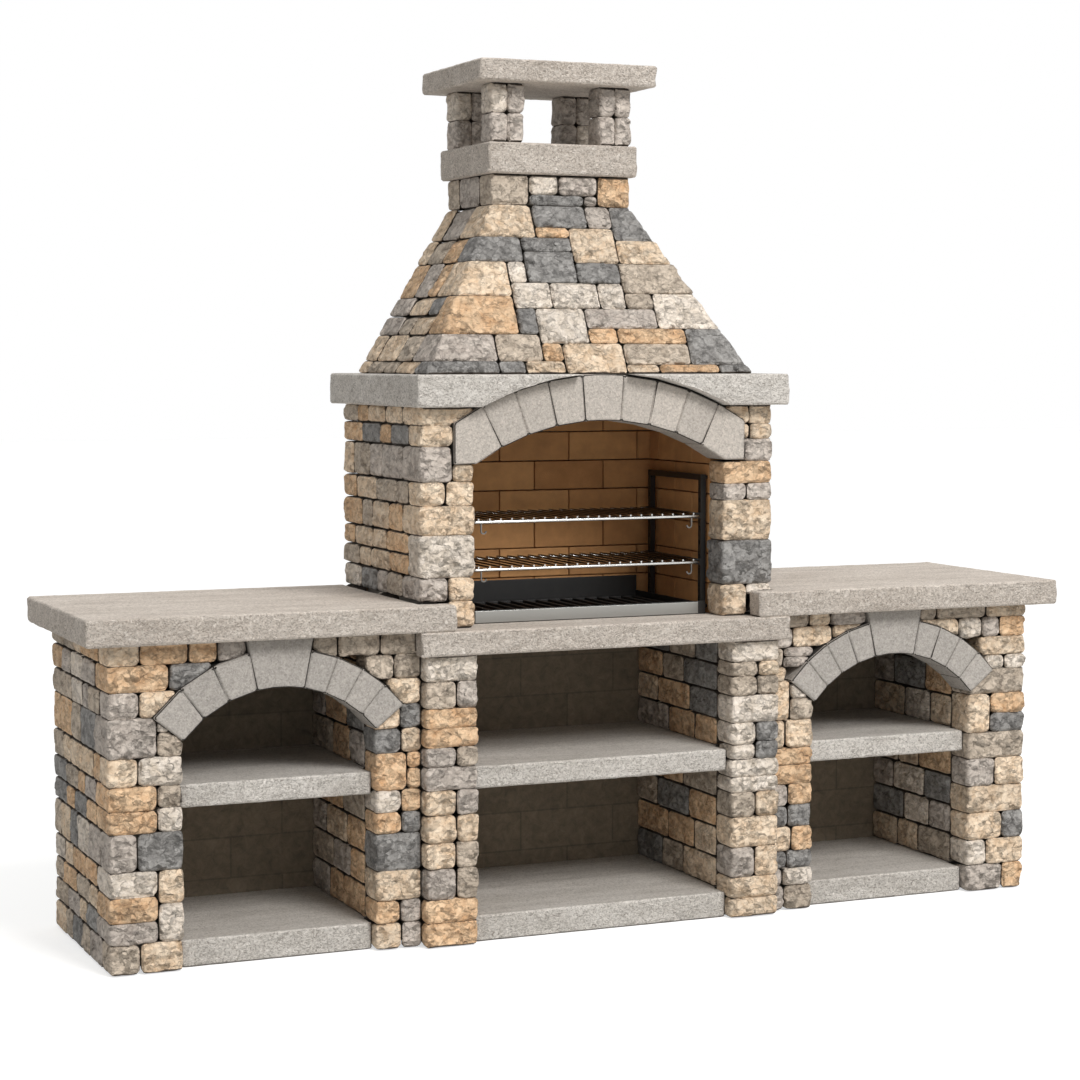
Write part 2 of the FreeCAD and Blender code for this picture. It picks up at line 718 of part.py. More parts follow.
centre_bay = (CENTRE_BAY, CENTRE_FRONT)
centre_rest = (CENTRE_STONE_BACK + JOINT, CENTRE_PANEL_FACE)
shelf_levels = (SHELF_UNDERSIDE, SHELF_TOP)
export("centre_plinth_slab", bay_slab(*centre_bay, PLINTH_SETBACK, *centre_rest, (0, PLINTH_HEIGHT), 0.0))
export("centre_shelf_slab", bay_slab(*centre_bay, SHELF_SETBACK, *centre_rest, shelf_levels, 0.0))
panel_span = mirrored(1, -CENTRE_BAY - CLADDING, CENTRE_BAY + CLADDING)
export("centre_back_panel", box(panel_span, (CENTRE_PANEL_FACE, BACK), (0, HEARTH_UNDERSIDE)))

hearth_wide = CENTRE_OUTER + HEARTH_LIP
hearth_ear = SIDE_FRONT - ARCH_PROUD
hearth_points = [
    (-hearth_wide, WORKTOP_FRONT),
    (hearth_wide, WORKTOP_FRONT),
    (hearth_wide, hearth_ear),
    (CENTRE_OUTER, hearth_ear),
    (CENTRE_OUTER, BACK),
    (-CENTRE_OUTER, BACK),
    (-CENTRE_OUTER, hearth_ear),
    (-hearth_wide, hearth_ear),
]
hearth = prism(hearth_points, (HEARTH_UNDERSIDE, WORKTOP_UNDERSIDE))
export("hearth_slab", dressed(hearth, [face_at("y", WORKTOP_FRONT)], SLAB_ARRIS))

# Firebox
# Two stone piers, a cast back and sides lined with firebrick, and a segmental arch across the opening.
FIRE_CROWN = MANTEL_TOP - FIRE_ARCH_RING
FIRE_SPRING = FIRE_CROWN - FIRE_ARCH_RISE
FIRE_RADIUS = arch_radius(FIREBOX_INNER, FIRE_ARCH_RISE)
FIRE_CENTRE = (0.0, FIRE_CROWN - FIRE_RADIUS)
FIRE_RING_OUTER = FIRE_RADIUS + FIRE_ARCH_RING
FIRE_ANGLE = math.asin(FIREBOX_INNER / FIRE_RADIUS)
FIRE_KEY_ANGLE = math.asin(FIRE_KEY_WIDTH / 2 / FIRE_RADIUS)
FIRE_ARCH_FRONT = FIREBOX_FRONT - ARCH_PROUD
FIRE_ARCH_SPAN = (FIRE_ARCH_FRONT, FIREBOX_STONE_BACK)
SPRINGER_OUTER = FIREBOX_INNER + FIRE_SPRINGER_BED


fire_joints = joint_turns(FIRE_KEY_ANGLE, FIRE_ANGLE, FIRE_STONES_EACH_SIDE)
fire_joints.append(2 * fire_joints[-1] - fire_joints[-2])
fire_radii = (FIRE_RADIUS, FIRE_RING_OUTER)
fire_turns = arch_turns(fire_joints, fire_joints)


def springer_bounds(play):
    """Returns the block that the arch's feet are cut to, from their level beds up."""
    reach = SPRINGER_OUTER + play
    return box((-reach, reach), CUT_SPAN, (FIRE_SPRING, MANTEL_TOP + JOINT))


voussoirs = []
for side in (-1, 1):
    for number in range(FIRE_STONES_EACH_SIDE):
        springer = number == FIRE_STONES_EACH_SIDE - 1
        turns = fire_joints[number:] if springer else fire_joints[number:number + 2]
        stone = slice_of_ring(FIRE_CENTRE, fire_radii, [side * turn for turn in turns], FIRE_ARCH_SPAN)
        stone = stone.common(springer_bounds(0)).Solids[0]
        voussoirs.append(dressed(stone, [face_at("y", FIRE_ARCH_FRONT)], ARCH_ARRIS))
export("firebox_arch_voussoirs", voussoirs)
key = slice_of_ring(FIRE_CENTRE, fire_radii, key_turns(FIRE_KEY_ANGLE), FIRE_ARCH_SPAN)
key = key.common(springer_bounds(0)).Solids[0]
export("firebox_arch_keystone", dressed(key, [face_at("y", FIRE_ARCH_FRONT)], ARCH_ARRIS))
fire_arch_space = space_under(FIRE_CENTRE, FIRE_RING_OUTER + BED, fire_turns, CUT_SPAN)
fire_arch_space = fire_arch_space.common(springer_bounds(BED))

firebox_levels = (WORKTOP_UNDERSIDE, MANTEL_UNDERSIDE)
for name, side in (("left", -1), ("right", 1)):
    layout = LAYOUTS[f"firebox_{name}"]
    pier_span = mirrored(side, FIREBOX_INNER, FIREBOX_OUTER)
    clad = "low" if side < 0 else "high"
    stones = front_stones(pier_span, FIREBOX_FRONT, firebox_levels, layout, clad, fire_arch_space)
    stones += outer_side(side * FIREBOX_OUTER, -side, FIREBOX_FRONT, firebox_levels, layout)
    export(f"firebox_{name}_stones", stones)
    core_span = mirrored(side, LINING_FACE + BRICK_THICKNESS, FIREBOX_OUTER - CLADDING)
    export(f"firebox_{name}_core", box(core_span, (FIREBOX_STONE_BACK, BACK_CORE_FACE), firebox_levels))
back_span = (-FIREBOX_OUTER + CLADDING, FIREBOX_OUTER - CLADDING)
export("firebox_back_core", box(back_span, (BACK_CORE_FACE, BACK), firebox_levels))


def running_bond(run):
    """Yields the stretch and the levels of each firebrick along a lining, with the joints of rows in turn."""
    courses = max(1, round(FIREBOX_HEIGHT / (BRICK_HEIGHT + BRICK_JOINT)))
    for number, z_span in enumerate(shares(firebox_levels, [1] * courses, BRICK_JOINT)):
        lengths = [BRICK_LENGTH / 2 if number % 2 else BRICK_LENGTH]
        while run[1] - run[0] - sum(lengths) > BRICK_LENGTH * LONGEST_CLOSER:
            lengths.append(BRICK_LENGTH)
        lengths.append(run[1] - run[0] - sum(lengths))
        for stretch in shares(run, lengths, BRICK_JOINT):
            yield stretch, z_span


back_run = (-LINING_FACE - BRICK_THICKNESS, LINING_FACE + BRICK_THICKNESS)
back_depth = (LINING_BACK, BACK_CORE_FACE)
export("back_firebricks", [box(stretch, back_depth, z_span) for stretch, z_span in running_bond(back_run)])
side_run = (FIREBOX_STONE_BACK, LINING_BACK)
for name, side in (("left", -1), ("right", 1)):
    brick_span = mirrored(side, LINING_FACE, LINING_FACE + BRICK_THICKNESS)
    bricks = [box(brick_span, stretch, z_span) for stretch, z_span in running_bond(side_run)]
    export(f"{name}_firebricks", bricks)

# Mantel
# A left and a right half round the smoke opening, cut along the back of the arch and parted at its crown.
mantel_half = FIREBOX_OUTER + MANTEL_END_OVERHANG
mantel_front = WORKTOP_FRONT + MANTEL_SETBACK
smoke_front = FIREBOX_STONE_BACK
arch_cut = space_under(FIRE_CENTRE, FIRE_RING_OUTER + JOINT, fire_turns, (mantel_front, smoke_front))
for name, side in (("left", -1), ("right", 1)):
    middle = side * BED / 2
    end = side * mantel_half
    smoke_side = side * LINING_FACE
    points = [
        (middle, mantel_front),
        (end, mantel_front),
        (end, TOTAL_DEPTH / 2),
        (middle, TOTAL_DEPTH / 2),
        (middle, LINING_BACK),
        (smoke_side, LINING_BACK),
        (smoke_side, smoke_front),
        (middle, smoke_front),
    ]
    slab = prism(points, (MANTEL_UNDERSIDE, MANTEL_TOP))
    slab = dressed(slab, [face_at("y", mantel_front), face_at("x", end)], SLAB_ARRIS)
    export(f"mantel_{name}", slab.cut(arch_cut).Solids[0])

# Hood
# A hollow cast shell that slopes in on three sides to a square neck, with stones laid on those three sides.
HOOD_FRONT = mantel_front + HOOD_SETBACK
HOOD_BACK = TOTAL_DEPTH / 2 - HOOD_BACK_SETBACK
NECK_FRONT = HOOD_BACK - NECK_DEPTH


def hood_at(z):
    """Returns half the hood's width and its front face, outside the stones, at a level."""
    climb = min(1.0, (z - MANTEL_TOP) / HOOD_RISE)
    half = HOOD_BASE + climb * (NECK_WIDTH / 2 - HOOD_BASE)
    return half, HOOD_FRONT + climb * (NECK_FRONT - HOOD_FRONT)


def hood_ring(z, inset, back_inset):
    """Returns the hood's plan at a level and a depth inside the face of its stones."""
    half, front = hood_at(z)
    x = half - inset
    y = front + inset
    back = HOOD_BACK - back_inset
    return [(-x, y), (x, y), (x, back), (-x, back)]


def wall_plan(z, wall):
    """Returns the plan of one of the shell's four walls at a level, mitred at both ends."""
    outside = hood_ring(z, HOOD_CLADDING, 0.0)
    inside = hood_ring(z, HOOD_CLADDING + HOOD_SHELL, HOOD_SHELL)
    return [outside[wall - 1], outside[wall], inside[wall], inside[wall - 1]]


shell = []
for levels in ((MANTEL_TOP, NECK_UNDERSIDE), (NECK_UNDERSIDE, COLLAR_UNDERSIDE)):
    for wall in range(HOOD_WALL_COUNT):
        shell.append(stacked([wall_plan(z, wall) for z in levels], levels))
export("hood_shell", shell)


def corner_plan(z, side, x_joint, y_joint):
    """Returns the plan at a level of a stone that turns the hood's corner."""
    half, front = hood_at(z)
    corner = side * half
    inner = side * (half - HOOD_CLADDING)
    rear = front + HOOD_CLADDING
    front_arm = [(corner, front), (x_joint, front), (x_joint, rear), (inner, rear)]
    return front_arm + [(inner, y_joint), (corner, y_joint)]


def front_plan(z, x_span):
    """Returns the plan at a level of a stone on the hood's front."""
    front = hood_at(z)[1]
    rear = front + HOOD_CLADDING
    return [(x_span[0], front), (x_span[1], front), (x_span[1], rear), (x_span[0], rear)]


def flank_plan(z, side, y_span):
    """Returns the plan at a level of a stone on the hood's left or right side."""
    half = hood_at(z)[0]
    outer = side * half
    inner = side * (half - HOOD_CLADDING)
    return [(outer, y_span[0]), (inner, y_span[0]), (inner, y_span[1]), (outer, y_span[1])]


def hood_front_face(z_span):
    """Returns the plane of the hood's front between two levels, as a point and a normal."""
    low, high = [FreeCAD.Vector(0, hood_at(z)[1], z) for z in z_span]
    return low, (high - low).cross(FreeCAD.Vector(1, 0, 0)).normalize()


def hood_stone(plans, z_span):
    """Joins a stone's plans at two levels and dresses its front face."""
    return dressed(stacked(plans, z_span), [hood_front_face(z_span)], ARRIS)


def hood_flank(side, z_course, corner_end, number):
    """Lays the stones of the hood's left or right side behind one corner stone."""
    stones = []
    run = (corner_end + JOINT, HOOD_BACK)
    rows = max(1, round((z_course[1] - z_course[0]) / SIDE_COURSE))
    for row, z_span in enumerate(shares(z_course, [1] * rows, JOINT)):
        for y_span in shares(run, cycled(SIDE_STONE_LENGTHS, number + row, run[1] - run[0]), JOINT):
            stones.append(stacked([flank_plan(z, side, y_span) for z in z_span], z_span))
    return stones


def laid_on_hood(layout, levels):
    """Lays one part of the hood. Returns the front stones with the corners, then those of the two sides."""
    across = min(HOOD_BASE / HOOD_LAYOUT_BASE, NECK_WIDTH / 2 / HOOD_LAYOUT_NECK)
    rise = (levels[1] - levels[0]) / max(head for left, right, foot, head in layout)
    fronts = []
    flanks = {-1: [], 1: []}
    corner_count = {-1: 0, 1: 0}
    for left, right, foot, head in layout:
        z_span = (levels[0] + foot * rise + BED / 2, levels[0] + head * rise - BED / 2)
        if left is not None and right is not None:
            x_span = (left * across + JOINT / 2, right * across - JOINT / 2)
            plans = [front_plan(z, x_span) for z in z_span]
        else:
            side = -1 if left is None else 1
            x_joint = side * ((right if left is None else left) * across * side + JOINT / 2)
            corner_end = hood_at(sum(z_span) / 2)[1] + FRONT_STONE_DEPTH + leg_of(corner_count[side])
            plans = [corner_plan(z, side, x_joint, corner_end) for z in z_span]
            flanks[side] += hood_flank(side, z_span, corner_end, corner_count[side])
            corner_count[side] += 1
        fronts.append(hood_stone(plans, z_span))
    return fronts, flanks[-1], flanks[1]


hood_stones = [[], [], []]
hood_parts = [
    (LAYOUTS["hood"], (MANTEL_TOP + BED, NECK_UNDERSIDE)),
    (LAYOUTS["neck"], (NECK_UNDERSIDE + BED, COLLAR_UNDERSIDE - BED)),
]
for layout, levels in hood_parts:
    for group, laid_stones in zip(hood_stones, laid_on_hood(layout, levels)):
        group += laid_stones
for name, group in zip(("front", "left", "right"), hood_stones):
    export(f"hood_{name}_stones", group)

# Chimney
# A collar round the flue, four stacked posts that leave it open on every side, and a cap.
collar_x = NECK_WIDTH / 2 + COLLAR_OVERHANG
collar_y = (NECK_FRONT - COLLAR_OVERHANG, HOOD_BACK + COLLAR_OVERHANG)
flue_inset = HOOD_CLADDING + HOOD_SHELL
flue_x = NECK_WIDTH / 2 - flue_inset
flue_y = (NECK_FRONT + flue_inset, HOOD_BACK - HOOD_SHELL)
collar_levels = (COLLAR_UNDERSIDE, COLLAR_TOP)
collar = box((-collar_x, collar_x), collar_y, collar_levels)
collar = dressed(collar, upright_faces((-collar_x, collar_x), collar_y), SLAB_ARRIS)
export("chimney_collar", collar.cut(box((-flue_x, flue_x), flue_y, collar_levels)))

posts = []
for side in (-1, 1):
    x_span = mirrored(side, collar_x - POST_INSET - POST_WIDTH, collar_x - POST_INSET)
    front_post = (collar_y[0] + POST_INSET, collar_y[0] + POST_INSET + POST_DEPTH)
    back_post = (collar_y[1] - POST_INSET - POST_DEPTH, collar_y[1] - POST_INSET)
    for y_span in (front_post, back_post):
        for z_span in shares((COLLAR_TOP, CAP_UNDERSIDE), [1] * POST_COURSES, BED):
            for x_stone in shares(x_span, [1] * POST_STONES_PER_COURSE, BED):
                posts.append(dressed(box(x_stone, y_span, z_span), [face_at("y", y_span[0])], ARRIS))
export("chimney_posts", posts)

cap_x = collar_x + CAP_OVERHANG
cap_y = (collar_y[0] - CAP_OVERHANG, collar_y[1] + CAP_OVERHANG)
cap = box((-cap_x, cap_x), cap_y, (CAP_UNDERSIDE, CAP_UNDERSIDE + CAP_THICKNESS))
export("chimney_cap", dressed(cap, upright_faces((-cap_x, cap_x), cap_y), SLAB_ARRIS))

# Grill ladders
# Slotted uprights joined by a top bar and two channel rails, pinned to the lining on either side.
ladder_front = FIREBOX_STONE_BACK + LADDER_SETBACK
ladder_rear = LINING_BACK - LADDER_REAR_GAP
ladder_outer = LINING_FACE - LINING_SETBACK
ladder_inner = ladder_outer - LADDER_BAR
rail_tip = ladder_inner - RAIL_FLANGE
rail_gap = GRATE_ROD + 2 * RUNNING_CLEARANCE
GRATE_LEVELS = {
    "upper": WORKTOP_UNDERSIDE + UPPER_GRATE_HEIGHT,
    "lower": WORKTOP_UNDERSIDE + LOWER_GRATE_HEIGHT,
}


def rail(side, level):
    """Returns a channel, open towards the middle, that carries a grate's side rod at a level."""
    low = level - rail_gap / 2
    high = level + rail_gap / 2
    web = box(mirrored(side, ladder_inner - RAIL_SHEET, ladder_inner), (ladder_front, ladder_rear),
              (low - RAIL_SHEET, high + RAIL_SHEET))
    span = mirrored(side, rail_tip, ladder_inner - RAIL_SHEET)
    lower = box(span, (ladder_front, ladder_rear), (low - RAIL_SHEET, low))
    upper = box(span, (ladder_front, ladder_rear), (high, high + RAIL_SHEET))
    return [web, lower, upper]


def ladder(side):
    """Returns one welded ladder, and the pins that hold it to the lining."""
    x_span = mirrored(side, ladder_inner, ladder_outer)
    top = WORKTOP_UNDERSIDE + LADDER_HEIGHT
    feet = [ladder_front, ladder_rear - LADDER_BAR]
    pieces = [box(x_span, (ladder_front, ladder_rear), (top - LADDER_BAR, top))]
    pins = []
    for foot in feet:
        upright = box(x_span, (foot, foot + LADDER_BAR), (WORKTOP_UNDERSIDE, top))
        middle = foot + LADDER_BAR / 2
        for number in range(1, SLOT_COUNT + 1):
            centre = WORKTOP_UNDERSIDE + number * SLOT_PITCH
            slot = box(x_span, (middle - SLOT_WIDTH / 2, middle + SLOT_WIDTH / 2),
                       (centre - SLOT_HEIGHT / 2, centre + SLOT_HEIGHT / 2))
            upright = upright.cut(slot)
        pieces.append(upright)
        for height in (SLOT_PITCH / 2, LADDER_HEIGHT - LADDER_BAR / 2):
            level = WORKTOP_UNDERSIDE + height
            ends = [(side * x, middle, level) for x in (ladder_outer, LINING_FACE)]
            pins.append(straight_rod(*ends, WALL_PIN_DIAMETER))
    for level in GRATE_LEVELS.values():
        pieces += rail(side, level)
    return pieces[0].multiFuse(pieces[1:]).removeSplitter().Solids[0], pins


wall_pins = []
for name, side in (("left", -1), ("right", 1)):
    frame, pins = ladder(side)
    export(f"grill_ladder_{name}", frame)
    wall_pins += pins
export("ladder_wall_pins", wall_pins)

# Grates
# A bent rod frame that runs in the rails, cross wires on top of it, and wire catches under its corners.
grate_half = ladder_inner - RAIL_SHEET - GRATE_SIDE_PLAY - GRATE_ROD / 2
grate_front = ladder_front - GRATE_FRONT_OVERRUN
grate_rear = ladder_rear - GRATE_REAR_PLAY
wire_half = rail_tip - GRATE_SIDE_PLAY - GRATE_WIRE / 2
catch_depth = (grate_front - CATCH_WIRE / 2, grate_front + CATCH_WIRE / 2)


def rounded_rectangle(half, y_span, corner):
    """Returns plan points round a rectangle centred on the centre line, each corner turned in a few bends."""
    front, rear = y_span
    middle = half - corner
    near, far = front + corner, rear - corner
    centres = [(middle, near), (middle, far), (-middle, far), (-middle, near)]
    points = []
    for quarter, (x, y) in enumerate(centres):
        for bend in range(ROD_CORNER_BENDS + 1):
            turn = math.pi / 2 * (quarter - 1 + bend / ROD_CORNER_BENDS)
            points.append((x + corner * math.cos(turn), y + corner * math.sin(turn)))
    return points


def outward(start, end):
    """Returns the level unit vector to the right of a run between two plan points."""
    return FreeCAD.Vector(end[1] - start[1], start[0] - end[0], 0).normalize()


def rod_frame(points, level, diameter):
    """Returns a closed level frame of rod, mitred at each plan point it passes anticlockwise."""
    rings = []
    for number, point in enumerate(points):
        before = outward(points[number - 1], point)
        after = outward(point, points[(number + 1) % len(points)])
        mitre = (before + after) / (1 + before.dot(after))
        middle = FreeCAD.Vector(*point, level)
        rings.append([middle + mitre * x + FreeCAD.Vector(0, 0, z) for x, z in rod_section(diameter)])
    faces = []
    for number, ring in enumerate(rings):
        last = rings[number - 1]
        for corner in range(ROD_SIDES):
            corners = [last[corner - 1], last[corner], ring[corner], ring[corner - 1]]
            faces.append(Part.Face(Part.makePolygon(corners + corners[:1])))
    return Part.Solid(Part.Shell(faces))


def grate(level):
    """Returns a grate: its frame rod and the wires laid across it from front to back."""
    plan = rounded_rectangle(grate_half, (grate_front, grate_rear), GRATE_CORNER)
    solids = [rod_frame(plan, level, GRATE_ROD)]
    height = level + (GRATE_ROD + GRATE_WIRE) / 2
    ends = (grate_front - GRATE_ROD / 2, grate_rear + GRATE_ROD / 2)
    pitch = 2 * wire_half / (GRATE_WIRE_COUNT - 1)
    for number in range(GRATE_WIRE_COUNT):
        x = -wire_half + number * pitch
        solids.append(straight_rod(*[(x, y, height) for y in ends], GRATE_WIRE))
    return solids


def catch(level, side):
    """Returns the hooked catch that hangs under a grate's front rod near one of its corners."""
    centre = side * (grate_half - CATCH_INSET)
    top = level - GRATE_ROD / 2
    bottom = top - CATCH_DROP
    inner = CATCH_BEND - CATCH_WIRE / 2
    outer = CATCH_BEND + CATCH_WIRE / 2
    stem = box((centre + side * inner, centre + side * outer), catch_depth, (bottom, top))
    axis = FreeCAD.Vector(0, 1, 0)
    hub = FreeCAD.Vector(centre, catch_depth[0], bottom)
    round_end = Part.makeCylinder(outer, CATCH_WIRE, hub, axis)
    bend = round_end.cut(Part.makeCylinder(inner, CATCH_WIRE, hub, axis))
    lower_half = box((centre - outer, centre + outer), catch_depth, (bottom - outer, bottom))
    return stem.fuse(bend.common(lower_half)).removeSplitter().Solids[0]


for name, level in GRATE_LEVELS.items():
    export(f"{name}_grate", grate(level))
    export(f"{name}_grate_catches", [catch(level, side) for side in (-1, 1)])

# Ember tray
# A folded tray that slides out between the ladders, with a wider front lip, a bright fascia
# and a loose grate in the bottom for the charcoal.
tray_half = rail_tip - TRAY_SIDE_PLAY
tray_front = ladder_front - TRAY_FRONT_GAP
tray_rear = LINING_BACK - TRAY_REAR_PLAY
tray_floor = WORKTOP_UNDERSIDE + RUNNING_CLEARANCE
lip_half = FIREBOX_INNER - TRAY_SIDE_PLAY
lip_top = tray_floor + TRAY_LIP_HEIGHT
tray_depth = (tray_front, tray_rear)
tray = box((-tray_half, tray_half), tray_depth, (tray_floor, lip_top))
hollow = box(
    (-tray_half + TRAY_SHEET, tray_half - TRAY_SHEET),
    (tray_front + TRAY_SHEET, tray_rear - TRAY_SHEET),
    (tray_floor + TRAY_SHEET, lip_top))
lip = box((-lip_half, lip_half), (tray_front, tray_front + TRAY_SHEET), (tray_floor, lip_top))
back_wall = box(
    (-tray_half, tray_half), (tray_rear - TRAY_SHEET, tray_rear), (tray_floor, tray_floor + TRAY_BACK_HEIGHT))
export("ember_tray", tray.cut(hollow).multiFuse([lip, back_wall]).removeSplitter().Solids[0])
fascia_half = lip_half - TRAY_FASCIA_END
export("tray_fascia", box(
    (-fascia_half, fascia_half),
    (tray_front - TRAY_FASCIA_SHEET, tray_front),
    (tray_floor + TRAY_FASCIA_MARGIN, lip_top - TRAY_FASCIA_MARGIN)))

ember_half = tray_half - TRAY_SHEET - EMBER_MARGIN
ember_depth = (tray_front + TRAY_SHEET + EMBER_MARGIN, tray_rear - TRAY_SHEET - EMBER_MARGIN)
ember_foot = tray_floor + TRAY_SHEET + RUNNING_CLEARANCE
ember_level = ember_foot + EMBER_FOOT_HEIGHT
ember_top = ember_level + EMBER_BAR
ember_grate = box((-ember_half, ember_half), ember_depth, (ember_level, ember_top))
openings = shares((-ember_half, ember_half), [1] * (EMBER_BAR_COUNT - 1), EMBER_BAR)
openings[0] = (openings[0][0] + EMBER_BAR, openings[0][1])
openings[-1] = (openings[-1][0], openings[-1][1] - EMBER_BAR)
bar_depth = (ember_depth[0] + EMBER_BAR, ember_depth[1] - EMBER_BAR)
ember_grate = ember_grate.cut([box(gap, bar_depth, (ember_level, ember_top)) for gap in openings])
feet = []
for x_foot in ((-ember_half, -ember_half + EMBER_BAR), (ember_half - EMBER_BAR, ember_half)):
    for y_foot in ((ember_depth[0], bar_depth[0]), (bar_depth[1], ember_depth[1])):
        feet.append(box(x_foot, y_foot, (ember_foot, ember_level)))
export("charcoal_grate", ember_grate.multiFuse(feet).removeSplitter().Solids[0])
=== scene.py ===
import math
import random

import bmesh
import bpy
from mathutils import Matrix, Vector
from mathutils.bvhtree import BVHTree


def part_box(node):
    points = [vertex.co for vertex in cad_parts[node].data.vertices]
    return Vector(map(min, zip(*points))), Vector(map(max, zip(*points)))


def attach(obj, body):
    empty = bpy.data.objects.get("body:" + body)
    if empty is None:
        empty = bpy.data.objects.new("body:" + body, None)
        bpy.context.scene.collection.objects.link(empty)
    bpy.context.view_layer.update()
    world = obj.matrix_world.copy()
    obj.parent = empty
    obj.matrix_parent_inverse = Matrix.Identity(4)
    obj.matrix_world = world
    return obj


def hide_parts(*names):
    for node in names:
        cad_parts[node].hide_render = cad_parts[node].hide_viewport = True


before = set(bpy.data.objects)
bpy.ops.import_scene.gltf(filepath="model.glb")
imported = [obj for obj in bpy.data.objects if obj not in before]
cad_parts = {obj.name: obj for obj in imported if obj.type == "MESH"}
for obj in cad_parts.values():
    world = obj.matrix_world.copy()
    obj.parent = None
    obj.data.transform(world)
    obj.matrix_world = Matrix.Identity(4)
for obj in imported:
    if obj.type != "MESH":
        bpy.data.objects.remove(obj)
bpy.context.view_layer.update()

# Plinth slabs
# Three thick slabs of grey granite that the units stand on, sawn flat above and below.
# Their edges were pitched off with a hammer, so they are uneven and a little chipped.


def linear(code):
    """Turns an sRGB hex colour into linear red, green and blue, with an alpha of one."""
    parts = [int(code[place:place + 2], 16) / 255 for place in (0, 2, 4)]
    return [part / 12.92 if part <= 0.04045 else ((part + 0.055) / 1.055) ** 2.4 for part in parts] + [1.0]


def connect(tree, node, sockets):
    """Sets or links the inputs of a node, by name or in their order."""
    entries = sockets.items() if isinstance(sockets, dict) else enumerate(sockets)
    for key, value in entries:
        usable = [socket for socket in node.inputs if socket.enabled]
        socket = usable[key] if isinstance(key, int) else next(one for one in usable if one.name == key)
        if isinstance(value, bpy.types.NodeSocket):
            tree.links.new(value, socket)
        else:
            socket.default_value = value


def add_node(tree, kind, settings=None, sockets=()):
    """Adds a node to a tree with its settings, and sets or links its inputs."""
    node = tree.nodes.new(kind)
    for name, value in (settings or {}).items():
        setattr(node, name, value)
    connect(tree, node, sockets)
    return node


def result(node):
    """Returns the first output of a node that its settings switch on."""
    return next(output for output in node.outputs if output.enabled)


def new_finish(name):
    """Starts a material, and returns it with its tree, its shader and its Object coordinates."""
    material = bpy.data.materials.new(name)
    material.use_nodes = True
    tree = material.node_tree
    place = add_node(tree, "ShaderNodeTexCoord").outputs["Object"]
    return material, tree, tree.nodes["Principled BSDF"], place


# Settings of the nodes that mix two colours, and of those that shade one by a grey.
COLOURS = {"data_type": "RGBA"}
SHADING = {"data_type": "RGBA", "blend_type": "MULTIPLY"}


